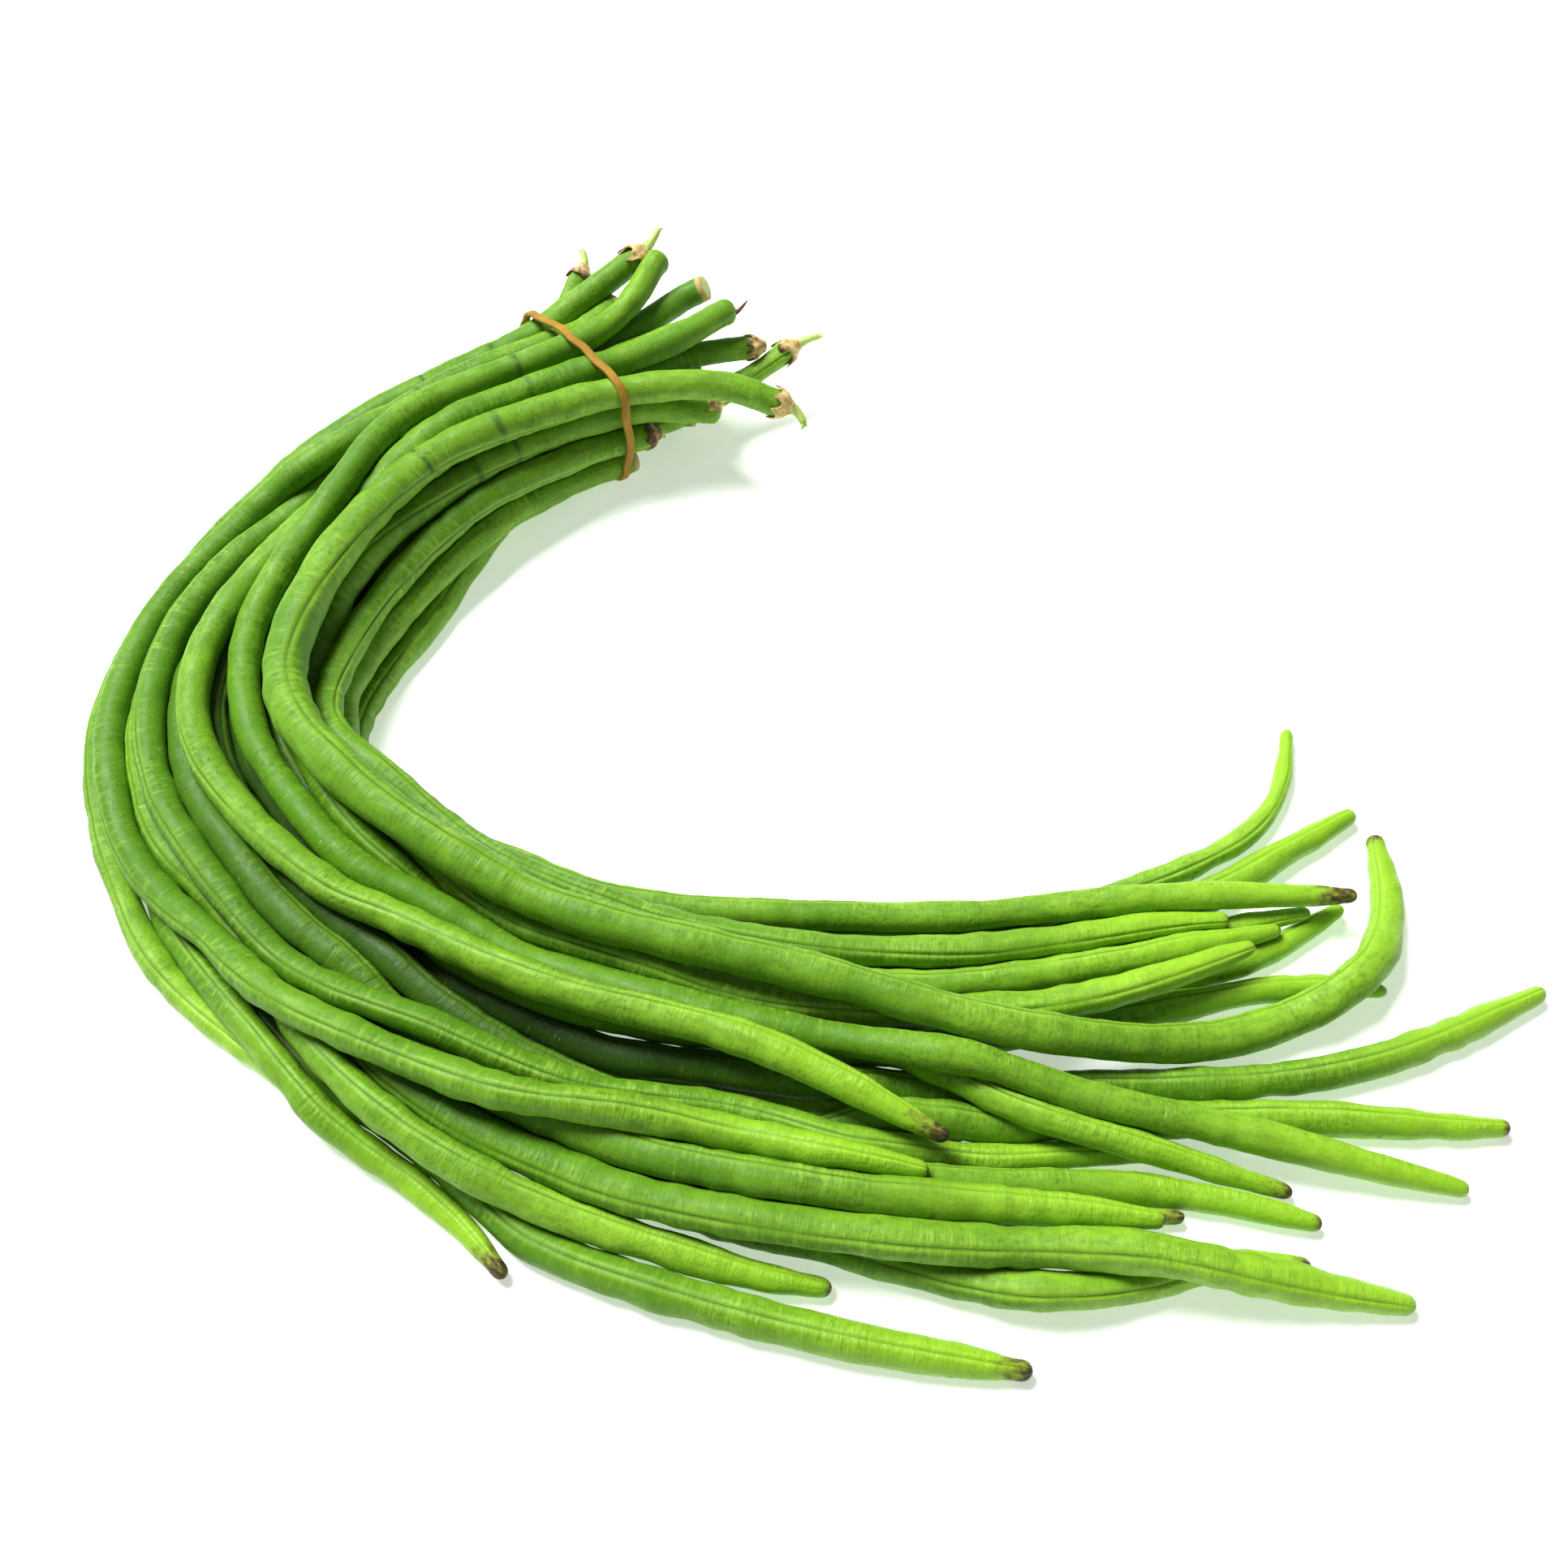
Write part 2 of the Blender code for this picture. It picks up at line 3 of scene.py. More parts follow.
import bmesh
import bpy
import numpy as np
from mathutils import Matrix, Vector


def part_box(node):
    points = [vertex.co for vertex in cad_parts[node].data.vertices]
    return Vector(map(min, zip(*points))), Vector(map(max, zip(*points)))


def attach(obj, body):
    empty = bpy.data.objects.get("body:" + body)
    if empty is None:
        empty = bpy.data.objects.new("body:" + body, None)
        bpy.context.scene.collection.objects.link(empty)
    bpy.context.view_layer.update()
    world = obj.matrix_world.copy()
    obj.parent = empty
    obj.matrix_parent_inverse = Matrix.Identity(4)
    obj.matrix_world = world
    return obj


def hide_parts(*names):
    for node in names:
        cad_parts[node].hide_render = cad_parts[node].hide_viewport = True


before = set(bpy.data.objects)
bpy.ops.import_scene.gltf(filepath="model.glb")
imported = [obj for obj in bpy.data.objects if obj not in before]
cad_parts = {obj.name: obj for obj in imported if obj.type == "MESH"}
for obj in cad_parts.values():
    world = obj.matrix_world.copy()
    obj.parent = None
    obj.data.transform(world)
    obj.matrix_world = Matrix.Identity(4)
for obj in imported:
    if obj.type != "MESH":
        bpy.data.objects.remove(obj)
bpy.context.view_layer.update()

MM = 0.001


# ---- The pods' middle lines ----
# A yardlong bean is one long soft pod, 7 to 12 mm thick.  Its node in the frame is a run of
# eight-cornered rings, so the middles and sizes of those rings give the line that the skin
# follows.

SIDES = 8                       # corners of a ring of the node
STEM_RINGS = {"stalk": 5, "hook": 3, "cut": 2}   # rings of the node that belong to the stem end
STALKS = ("pod_01", "pod_02", "pod_19", "pod_22", "pod_25")
HOOKS = ("pod_11", "pod_20", "pod_21")
PODS = sorted(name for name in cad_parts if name.startswith("pod_"))
STEM_END = {name: "stalk" if name in STALKS else "hook" if name in HOOKS else "cut"
            for name in PODS}
FULLNESS = 0.25 * MM            # how far the skin stands outside the node's ring
LINE_STEP = 1.1 * MM            # between two points of a pod's line
SMOOTHING = 24                  # points read off the curve between two of the node's rings

# The rounded ends.  (distance past the last full ring in mm, share of that ring's size)
TIP_SHAPE = [(0.6, 0.97), (1.2, 0.90), (1.8, 0.77), (2.3, 0.58), (2.6, 0.38), (2.75, 0.18),
             (2.8, 0.02)]
STEM_SHAPE = {
    "stalk": [(0.7, 1.01), (1.5, 0.95), (2.2, 0.82), (2.8, 0.60), (3.1, 0.35), (3.2, 0.02)],
    "hook": [(0.8, 1.04), (1.8, 1.05), (2.8, 1.00), (3.7, 0.86), (4.4, 0.63), (4.8, 0.36),
             (4.95, 0.02)],
    "cut": [(0.4, 1.01), (0.8, 0.97), (1.1, 0.88), (1.25, 0.72), (1.3, 0.45), (1.35, 0.02)],
}

# One cut end turns aside and shows its face.
TURNED_END, TURNED_TO = "pod_09", (0.35, -0.75, 0.55)
TURN_LENGTH, TURN_REACH = 9 * MM, 3.2 * MM


def middle_of(box):
    return (box[0] + box[1]) / 2


def node_rings(name):
    """The corners of a pod's node, level by level from its stem's end point to its tip."""
    skin = bmesh.new()
    skin.from_mesh(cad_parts[name].data)
    bmesh.ops.remove_doubles(skin, verts=skin.verts, dist=1e-6)
    tie = middle_of(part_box("rubber_band"))
    ends = [v for v in skin.verts if len(v.link_edges) == SIDES]
    for start in sorted(ends, key=lambda v: (v.co - tie).length):
        levels, seen = [[start]], {start}
        while levels[-1]:
            beyond = {e.other_vert(v) for v in levels[-1] for e in v.link_edges} - seen
            seen |= beyond
            levels.append(list(beyond))
        levels.pop()
        if len(levels[-1]) == 1 and all(len(level) == SIDES for level in levels[1:-1]):
            found = [np.array([v.co for v in level]) for level in levels]
            skin.free()
            return found
    raise ValueError(f"{name} isn't a run of rings")


def smooth_through(rows):
    """A Catmull-Rom curve through the rows, with the knots spaced by their distances."""
    rows = np.array([2 * rows[0] - rows[1], *rows, 2 * rows[-1] - rows[-2]])
    steps = np.linalg.norm(np.diff(rows[:, :3], axis=0), axis=1)
    knots = np.concatenate([[0], np.cumsum(steps ** 0.5)])
    curve = []
    for i in range(1, len(rows) - 2):
        a, b, c, d = rows[i - 1:i + 3]
        ta, tb, tc, td = knots[i - 1:i + 3]
        slope_b = (tc - tb) * ((b - a) / (tb - ta) - (c - a) / (tc - ta) + (c - b) / (tc - tb))
        slope_c = (tc - tb) * ((c - b) / (tc - tb) - (d - b) / (td - tb) + (d - c) / (td - tc))
        for u in np.arange(SMOOTHING) / SMOOTHING:
            curve.append((2 * u**3 - 3 * u**2 + 1) * b + (u**3 - 2 * u**2 + u) * slope_b
                         + (3 * u**2 - 2 * u**3) * c + (u**3 - u**2) * slope_c)
    return np.array(curve + [rows[-2]])


def length_along(points):
    return np.concatenate([[0], np.cumsum(np.linalg.norm(np.diff(points, axis=0), axis=1))])


def pod_line(name):
    """A pod's middle line with its rounded ends: points, sizes, and distances along it from the
    last full ring at the stem."""
    rings = node_rings(name)[1 + STEM_RINGS[STEM_END[name]]:-2]
    middles = [ring.mean(axis=0) for ring in rings]
    sizes = [np.linalg.norm(ring - middle, axis=1).mean() for ring, middle in zip(rings, middles)]
    curve = smooth_through(np.column_stack([middles, sizes]))
    run = length_along(curve[:, :3])
    places = np.linspace(0, run[-1], int(run[-1] / LINE_STEP) + 1)
    body = np.stack([np.interp(places, run, curve[:, k]) for k in range(4)], axis=1)
    back = (body[0, :3] - body[2, :3]) / np.linalg.norm(body[0, :3] - body[2, :3])
    ahead = (body[-1, :3] - body[-3, :3]) / np.linalg.norm(body[-1, :3] - body[-3, :3])
    full = body[:, 3] + FULLNESS
    stem = [(body[0, :3] + back * out * MM, full[0] * share, -out * MM)
            for out, share in reversed(STEM_SHAPE[STEM_END[name]])]
    tip = [(body[-1, :3] + ahead * out * MM, full[-1] * share, run[-1] + out * MM)
           for out, share in TIP_SHAPE]
    rows = [*stem, *zip(body[:, :3], full, places), *tip]
    points, girth, along = (np.array([row[k] for row in rows]) for k in range(3))
    if name == TURNED_END:
        bend = np.maximum(1 - along / TURN_LENGTH, 0) ** 2 * TURN_REACH
        points += np.outer(bend, TURNED_TO)
    return points, girth, along


lines = {name: pod_line(name) for name in PODS}


# ---- The pods' skin ----
# Smooth waxy skin over the seeds.  The long seam where the pod would open is a fine groove
# between two raised rims, and the seeds show as soft swellings on both sides of it.

ROUND = 28                      # corners of the finished skin's cross-section
CROWDING = 0.5                  # how much closer together they are at the seam
POD_RADIUS = 4.2                # mm, that patterns are laid out for round every pod
FULL_GIRTH = 3.6 * MM           # a thinner stretch has lower seeds, lumps and rucks in proportion
APART = 997.0                   # mm between two pods' stretches of the patterns

# Which way the seam faces at the tie, at the bend and in the fan, in degrees from the top towards
# the inside of the bend.  The others are turned by rule.
SEAMS = {
    "pod_01": (-70, -60, -20), "pod_02": (-40, -5, 10), "pod_03": (-50, -80, 0),
    "pod_04": (-60, -40, -5), "pod_05": (-60, -40, -5), "pod_08": (60, -60, -30),
    "pod_09": (140, 60, 20), "pod_10": (-80, -75, 25), "pod_11": (160, 100, 60),
    "pod_15": (0, -60, 20), "pod_13": (120, 40, 10),
    "pod_17": (30, 40, 5), "pod_19": (150, 15, 40), "pod_20": (150, -25, 10),
    "pod_21": (150, -35, -30), "pod_22": (50, 20, 20), "pod_25": (110, 40, -45),
    "pod_26": (-20, 10, 60), "pod_27": (20, 20, 15), "pod_28": (0, 40, -25),
}
SEAM_AT = (0.05, 0.35, 0.85)    # shares of the pod's length where those turns hold

# How far back from the tip each dead flower's brown has crept, in mm.
BROWN_TIPS = {
    "pod_02": 12, "pod_04": 9, "pod_05": 3, "pod_06": 6, "pod_10": 13, "pod_14": 9, "pod_15": 8,
    "pod_16": 8, "pod_18": 9, "pod_19": 4, "pod_26": 16, "pod_07": 1.5, "pod_13": 3,
    "pod_12": 2.5,
}
GREEN_TIP = 0.6

# Where old pressure has left a dark line across a pod, in mm from its stem end.
MARKS = {"pod_01": (58, 84), "pod_11": (62,), "pod_19": (93, 120), "pod_20": (70,),
         "pod_21": (66, 81), "pod_03": (75,)}
MARK_WIDTH = 0.9 * MM

# How deep the green is: a pod's own share, and how much deeper the stem half and the bend are than
# the tip, at these shares of the length.  Along the pod it is partly the pod's own green and
# partly painted shade at the bend; the pods of the lower layers get far more of it, as painted
# shade in the gaps between the upper pods.
DEEP = {"pod_09": 0.4, "pod_11": 0.0, "pod_01": 0.0, "pod_26": -0.3, "pod_10": -0.5,
        "pod_19": -0.25, "pod_28": -0.4, "pod_22": -0.3, "pod_02": 0.2, "pod_07": -0.2,
        "pod_03": 0.1, "pod_05": 0.2, "pod_20": 0.1, "pod_21": -0.1, "pod_25": 0.0}
SHADED_LOWER_PODS = {"pod_04", "pod_06", "pod_08", "pod_12", "pod_13", "pod_14", "pod_15", "pod_16",
         "pod_17", "pod_18", "pod_23", "pod_24", "pod_27"}
GREEN_AT = (0.0, 0.25, 0.55, 0.80, 1.0)
GREEN_AND_SHADE = {True: (0.5, 1.5, 1.5, 0.3, -0.9), False: (0.2, 0.5, 0.8, 0.15, -1.0)}


def add(tree, kind, feeds=None, **settings):
    """Adds a node.  Feeds are its inputs: a value, an earlier node, or one of its outputs."""
    made = tree.nodes.new(kind)
    for key, value in settings.items():
        setattr(made, key, value)
    for key, feed in (feeds or {}).items():
        if isinstance(feed, bpy.types.Node):
            feed = next(out for out in feed.outputs if out.enabled)
        if isinstance(feed, bpy.types.NodeSocket):
            tree.links.new(feed, made.inputs[key])
        else:
            made.inputs[key].default_value = feed
    return made


def start_tree(name, sizes):
    """A geometry tree with a line going in, its sizes as named inputs, and the outputs of its
    input node.
    """
    tree = bpy.data.node_groups.new(name, "GeometryNodeTree")
    tree.interface.new_socket("Line", in_out="INPUT", socket_type="NodeSocketGeometry")
    for label, value in sizes.items():
        kind = "NodeSocketInt" if isinstance(value, int) else "NodeSocketFloat"
        tree.interface.new_socket(label, in_out="INPUT", socket_type=kind).default_value = value
    tree.interface.new_socket("Material", in_out="INPUT", socket_type="NodeSocketMaterial")
    tree.interface.new_socket("Skin", in_out="OUTPUT", socket_type="NodeSocketGeometry")
    return tree, tree.nodes.new("NodeGroupInput").outputs


def set_curve(made, points):
    """Puts the points on a Float Curve node."""
    curve = made.mapping.curves[0]
    while len(curve.points) < len(points):
        curve.points.new(0.5, 0.5)
    for point, place in zip(curve.points, points):
        point.location = place
    made.mapping.update()


def skin_tree():
    """The pods' geometry tree: a line with sizes goes in, and a pod's skin comes out."""
    tree, given = start_tree("bean_pod_skin", {
        "Round": ROUND, "Seam Relief": 0.60 * MM, "Seed Spacing": 19 * MM,
        "Seed Swelling": 0.16 * MM, "Lump Height": 1.9 * MM, "Pebble Height": 0.45 * MM,
        "Ruck Height": 0.50 * MM, "Table": 0.0, "Seed": 0.0})
    math_, vector = "ShaderNodeMath", "ShaderNodeVectorMath"
    named = {label: add(tree, "GeometryNodeInputNamedAttribute", {"Name": label},
                        data_type="FLOAT_VECTOR" if label == "heading" else "FLOAT")
             for label in ("girth", "along", "seam", "heading")}
    # The cross-section starts at the seam, and its corners lie closer together there.
    left = add(tree, vector, {0: (0, 0, 1), 1: named["heading"]}, operation="CROSS_PRODUCT")
    left = add(tree, vector, {0: left}, operation="NORMALIZE")
    up = add(tree, vector, {0: named["heading"], 1: left}, operation="CROSS_PRODUCT")
    seam_up = add(tree, vector, {0: up, 3: add(tree, math_, {0: named["seam"]},
                                               operation="COSINE")}, operation="SCALE")
    seam_left = add(tree, vector, {0: left, 3: add(tree, math_, {0: named["seam"]},
                                                   operation="SINE")}, operation="SCALE")
    seam_way = add(tree, vector, {0: seam_up, 1: seam_left}, operation="ADD")
    line = add(tree, "GeometryNodeMeshToCurve", {0: given["Line"]})
    line = add(tree, "GeometryNodeSetCurveNormal", {"Curve": line, "Normal": seam_way},
               mode="FREE")
    here = add(tree, "GeometryNodeInputPosition")
    kept = add(tree, "GeometryNodeStoreNamedAttribute",
               {"Geometry": line, "Name": "middle", "Value": here},
               data_type="FLOAT_VECTOR", domain="POINT")
    circle = add(tree, "GeometryNodeCurvePrimitiveCircle",
                 {"Resolution": given["Round"], "Radius": 1.0})
    factor = add(tree, "GeometryNodeSplineParameter")
    factor = add(tree, math_, {0: factor, 1: 2 * math.pi}, operation="MULTIPLY")
    pulled = add(tree, math_, {0: factor}, operation="SINE")
    pulled = add(tree, math_, {0: pulled, 1: -CROWDING, 2: factor}, operation="MULTIPLY_ADD")
    corner = add(tree, "ShaderNodeCombineXYZ",
                 {0: add(tree, math_, {0: pulled}, operation="COSINE"),
                  1: add(tree, math_, {0: pulled}, operation="SINE")})
    circle = add(tree, "GeometryNodeSetPosition", {"Geometry": circle, "Position": corner})
    tube = add(tree, "GeometryNodeCurveToMesh",
               {"Curve": kept, "Profile Curve": circle, "Scale": named["girth"],
                "Fill Caps": True})
    # Each point's turn round the pod, counted from the seam.
    middle = add(tree, "GeometryNodeInputNamedAttribute", {"Name": "middle"},
                 data_type="FLOAT_VECTOR")
    away = add(tree, vector, {0: here, 1: middle}, operation="SUBTRACT")
    away = add(tree, vector, {0: away}, operation="NORMALIZE")
    on_left = add(tree, vector, {0: away, 1: left}, operation="DOT_PRODUCT").outputs["Value"]
    on_top = add(tree, vector, {0: away, 1: up}, operation="DOT_PRODUCT").outputs["Value"]
    turn = add(tree, math_, {0: on_left, 1: on_top}, operation="ARCTAN2")
    turn = add(tree, math_, {0: turn, 1: named["seam"]}, operation="SUBTRACT")
    cosine = add(tree, math_, {0: turn}, operation="COSINE")
    sine = add(tree, math_, {0: turn}, operation="SINE")
    from_seam = add(tree, math_, {0: cosine}, operation="ARCCOSINE")
    from_seam = add(tree, math_, {0: from_seam, 1: math.pi}, operation="DIVIDE")
    # Millimetres on the straightened pod, shifted so that no two pods share a pattern.
    along = add(tree, math_, {0: named["along"], 1: 1 / MM}, operation="MULTIPLY")
    shift = add(tree, math_, {0: given["Seed"], 1: APART, 2: along}, operation="MULTIPLY_ADD")
    flat = add(tree, "ShaderNodeCombineXYZ", {0: cosine, 1: sine, 2: 0.0})
    flat = add(tree, vector, {0: flat, 3: POD_RADIUS}, operation="SCALE")
    grain = add(tree, vector, {0: flat, 1: add(tree, "ShaderNodeCombineXYZ", {2: shift})},
                operation="ADD")
    # The seam: a groove between two rims on one side, a faint groove on the other.
    relief = add(tree, "ShaderNodeFloatCurve", {"Value": from_seam})
    set_curve(relief, [(0, 0.05), (0.036, 0.72), (0.074, 0.80), (0.12, 0.64), (0.18, 0.5),
                       (0.5, 0.5), (0.90, 0.54), (0.96, 0.60), (1, 0.42)])
    seam = add(tree, math_, {0: relief, 1: 0.5}, operation="SUBTRACT")
    seam = add(tree, math_, {0: seam, 1: given["Seam Relief"]}, operation="MULTIPLY")
    # It comes and goes along the pod.
    waver = add(tree, "ShaderNodeTexNoise", {"W": shift, "Scale": 0.035, "Detail": 2.0},
                noise_dimensions="1D")
    waver = add(tree, "ShaderNodeMapRange", {0: waver, 1: 0.34, 2: 0.58, 3: 0.30, 4: 1.0})
    seam = add(tree, math_, {0: seam, 1: waver}, operation="MULTIPLY")
    # The seeds, at uneven distances.
    drift = add(tree, "ShaderNodeTexNoise", {"W": shift, "Scale": 0.02, "Detail": 1.0},
                noise_dimensions="1D")
    spacing = add(tree, math_, {0: given["Seed Spacing"], 1: 1 / MM}, operation="MULTIPLY")
    count = add(tree, math_, {0: along, 1: spacing}, operation="DIVIDE")
    count = add(tree, math_, {0: drift, 1: 3.0, 2: count}, operation="MULTIPLY_ADD")
    wave = add(tree, math_, {0: count, 1: 2 * math.pi}, operation="MULTIPLY")
    wave = add(tree, math_, {0: wave}, operation="COSINE")
    sideways = add(tree, math_, {0: sine, 1: sine, 2: 0.25}, operation="MULTIPLY_ADD")
    seeds = add(tree, math_, {0: wave, 1: sideways}, operation="MULTIPLY")
    seeds = add(tree, math_, {0: seeds, 1: given["Seed Swelling"]}, operation="MULTIPLY")
    # Soft lumps a few centimetres long, pebbles a few millimetres across, and short rucks that
    # are deepest beside the seam.
    lumps = add(tree, "ShaderNodeTexNoise", {"Vector": grain, "Scale": 0.045, "Detail": 1.0},
                noise_dimensions="3D")
    lumps = add(tree, math_, {0: lumps, 1: 0.5}, operation="SUBTRACT")
    lumps = add(tree, math_, {0: lumps, 1: given["Lump Height"]}, operation="MULTIPLY")
    pebbles = add(tree, "ShaderNodeTexNoise", {"Vector": grain, "Scale": 0.19, "Detail": 1.0},
                  noise_dimensions="3D")
    pebbles = add(tree, math_, {0: pebbles, 1: 0.5}, operation="SUBTRACT")
    pebbles = add(tree, math_, {0: pebbles, 1: given["Pebble Height"]}, operation="MULTIPLY")
    across = add(tree, vector, {0: grain, 1: (0.10, 0.10, 0.30)}, operation="MULTIPLY")
    rucks = add(tree, "ShaderNodeTexNoise", {"Vector": across, "Scale": 1.0, "Detail": 2.0},
                noise_dimensions="3D")
    rucks = add(tree, math_, {0: rucks, 1: 0.5}, operation="SUBTRACT")
    rucks = add(tree, math_, {0: rucks, 1: given["Ruck Height"]}, operation="MULTIPLY")
    beside = add(tree, "ShaderNodeFloatCurve", {"Value": from_seam})
    set_curve(beside, [(0, 0.1), (0.05, 0.5), (0.12, 1.0), (0.30, 0.5), (0.6, 0.3), (1, 0.4)])
    rucks = add(tree, math_, {0: rucks, 1: beside}, operation="MULTIPLY")
    height = seam
    for more in (seeds, lumps, pebbles, rucks):
        height = add(tree, math_, {0: height, 1: more}, operation="ADD")
    thin = add(tree, math_, {0: named["girth"], 1: FULL_GIRTH}, operation="DIVIDE", use_clamp=True)
    height = add(tree, math_, {0: height, 1: thin}, operation="MULTIPLY")
    moved = add(tree, vector, {0: away, 3: height}, operation="SCALE")
    moved = add(tree, vector, {0: here, 1: moved}, operation="ADD")
    parts = add(tree, "ShaderNodeSeparateXYZ", {0: moved}).outputs
    resting = add(tree, math_, {0: parts["Z"], 1: given["Table"]}, operation="MAXIMUM")
    moved = add(tree, "ShaderNodeCombineXYZ", {0: parts["X"], 1: parts["Y"], 2: resting})
    skin = tube
    for label, kind, value in (("grain", "FLOAT_VECTOR", grain),
                               ("from_seam", "FLOAT", from_seam),
                               ("seam_depth", "FLOAT", waver)):
        skin = add(tree, "GeometryNodeStoreNamedAttribute",
                   {"Geometry": skin, "Name": label, "Value": value},
                   data_type=kind, domain="POINT")
    skin = add(tree, "GeometryNodeSetPosition", {"Geometry": skin, "Position": moved})
    skin = add(tree, "GeometryNodeSetShadeSmooth", {0: skin})
    skin = add(tree, "GeometryNodeRealizeInstances", {0: skin})
    skin = add(tree, "GeometryNodeSetMaterial", {"Geometry": skin, "Material": given["Material"]})
    add(tree, "NodeGroupOutput", {0: skin})
    return tree


def srgb(text):
    """A hex colour as the linear colour that a shader takes."""
    parts = [int(text[k:k + 2], 16) / 255 for k in (1, 3, 5)]
    return (*[p / 12.92 if p <= 0.04045 else ((p + 0.055) / 1.055) ** 2.4 for p in parts], 1)


def new_material(name):
    """A material with the shader's two usual nodes: itself, its tree and its shader."""
    made = bpy.data.materials.new(name)
    made.use_nodes = True
    return made, made.node_tree, made.node_tree.nodes["Principled BSDF"]


def waxy_bean_skin():
    """Living bean skin, unwashed: a thin natural wax over soft green flesh.  It gives a satin
    gloss broken up by fine rucks with painted highlights on their crests, cloudy lighter and
    darker greens with painted shade on the lower pods and at the bend, and a few dark scars."""
    made, tree, shader = new_material("waxy_bean_skin")
    math_, ramp, noise = "ShaderNodeMath", "ShaderNodeMapRange", "ShaderNodeTexNoise"
    at = {label: add(tree, "ShaderNodeAttribute", attribute_name=label).outputs
          for label in ("grain", "from_seam", "seam_depth", "to_tip", "brown", "depth", "mark",
                        "scar")}
    grain, from_seam = at["grain"]["Vector"], at["from_seam"]["Fac"]
    # Clouds of deeper green, 40 mm long, over a fresh yellow green.  They spread with the pod's
    # green value, which carries the painted shade too.
    clouds = add(tree, noise, {"Vector": grain, "Scale": 1 / 40, "Detail": 3.0})
    clouds = add(tree, math_, {0: at["depth"]["Fac"], 1: 0.36, 2: clouds},
                 operation="MULTIPLY_ADD")
    clouds = add(tree, ramp, {0: clouds, 1: 0.25, 2: 0.78, 3: 0.0, 4: 1.0})
    # Near-black green on the lower pods and at the bend: painted shade.
    deep_shade = add(tree, ramp, {0: at["depth"]["Fac"], 1: 0.7, 2: 1.6, 3: 0.0, 4: 0.85},
               interpolation_type="SMOOTHSTEP")
    # Blotches a few millimetres across, drawn out along the pod.
    long_way = add(tree, "ShaderNodeVectorMath", {0: grain, 1: (0.45, 0.45, 0.16)},
                   operation="MULTIPLY")
    mottle = add(tree, noise, {"Vector": long_way, "Scale": 1.0, "Detail": 5.0,
                               "Roughness": 0.65})
    mottle = add(tree, ramp, {0: mottle, 1: 0.38, 2: 0.66, 3: 0.0, 4: 0.55})
    # Small deep-green dots in patches.
    patch = add(tree, noise, {"Vector": grain, "Scale": 1 / 28, "Detail": 1.0})
    patch = add(tree, ramp, {0: patch, 1: 0.38, 2: 0.60, 3: 0.35, 4: 1.0})
    dots = add(tree, noise, {"Vector": grain, "Scale": 0.75, "Detail": 2.0, "Roughness": 0.6})
    dots = add(tree, ramp, {0: dots, 1: 0.52, 2: 0.70, 3: 0.0, 4: 0.55})
    dots = add(tree, math_, {0: dots, 1: patch}, operation="MULTIPLY")
    # Fine rucks across the skin, 1.4 mm apart, with a painted highlight on their crests.
    across = add(tree, "ShaderNodeVectorMath", {0: grain, 1: (0.16, 0.16, 0.72)},
                 operation="MULTIPLY")
    rucks = add(tree, noise, {"Vector": across, "Scale": 1.0, "Detail": 3.0, "Roughness": 0.6})
    beside = add(tree, "ShaderNodeFloatCurve", {"Value": from_seam})
    set_curve(beside, [(0, 0.3), (0.06, 0.8), (0.14, 1.0), (0.32, 0.45), (0.6, 0.3), (1, 0.4)])
    rucked = add(tree, math_, {0: beside, 1: patch}, operation="MULTIPLY")
    crest_highlight = add(tree, ramp, {0: rucks, 1: 0.50, 2: 0.70, 3: 0.0, 4: 0.45})
    crest_highlight = add(tree, math_, {0: crest_highlight, 1: rucked}, operation="MULTIPLY")
    # The seam: pale rims on each side of a thin darker line, faint in places.
    rims = add(tree, "ShaderNodeFloatCurve", {"Value": from_seam})
    set_curve(rims, [(0, 0.1), (0.03, 0.22), (0.06, 0.26), (0.10, 0.10), (0.14, 0.0), (0.2, 0.0),
                     (0.93, 0.0), (0.98, 0.12), (1, 0.14)])
    rims = add(tree, math_, {0: rims, 1: at["seam_depth"]["Fac"]}, operation="MULTIPLY")
    groove = add(tree, ramp, {0: from_seam, 1: 0.0, 2: 0.032, 3: 0.85, 4: 0.0})
    groove = add(tree, math_, {0: groove, 1: at["seam_depth"]["Fac"]}, operation="MULTIPLY")
    # The young end towards the tip is yellower.
    young = add(tree, ramp, {0: at["to_tip"]["Fac"], 1: 80 * MM, 2: 10 * MM, 3: 0.0, 4: 0.55},
                interpolation_type="SMOOTHSTEP")
    # Old pressure lines across the pod, broken up.
    broken = add(tree, noise, {"Vector": grain, "Scale": 0.35, "Detail": 2.0})
    broken = add(tree, ramp, {0: broken, 1: 0.40, 2: 0.54, 3: 0.3, 4: 0.95})
    pressed = add(tree, math_, {0: at["mark"]["Fac"], 1: broken}, operation="MULTIPLY")
    # Bruises: dull green-brown blotches, one or two to a pod.
    bruise = add(tree, noise, {"Vector": grain, "Scale": 0.06, "Detail": 4.0,
                               "Roughness": 0.7})
    bruise = add(tree, ramp, {0: bruise, 1: 0.64, 2: 0.76, 3: 0.0, 4: 0.55})
    # Specks: dark scars about 1 mm across, a few centimetres apart.
    specks = add(tree, "ShaderNodeTexVoronoi", {"Vector": grain, "Scale": 0.16,
                                                "Randomness": 1.0})
    chosen = add(tree, "ShaderNodeSeparateColor", {0: specks.outputs["Color"]}).outputs["Red"]
    chosen = add(tree, math_, {0: chosen, 1: 0.85}, operation="GREATER_THAN")
    speck = add(tree, ramp, {0: specks.outputs["Distance"], 1: 0.10, 2: 0.18, 3: 0.6, 4: 0.0})
    speck = add(tree, math_, {0: speck, 1: chosen}, operation="MULTIPLY")
    # Flecks of broken wax, short and pale.
    fleck = add(tree, noise, {"Vector": across, "Scale": 2.3, "Detail": 2.0})
    fleck = add(tree, ramp, {0: fleck, 1: 0.68, 2: 0.78, 3: 0.0, 4: 0.45})
    fleck = add(tree, math_, {0: fleck, 1: patch}, operation="MULTIPLY")
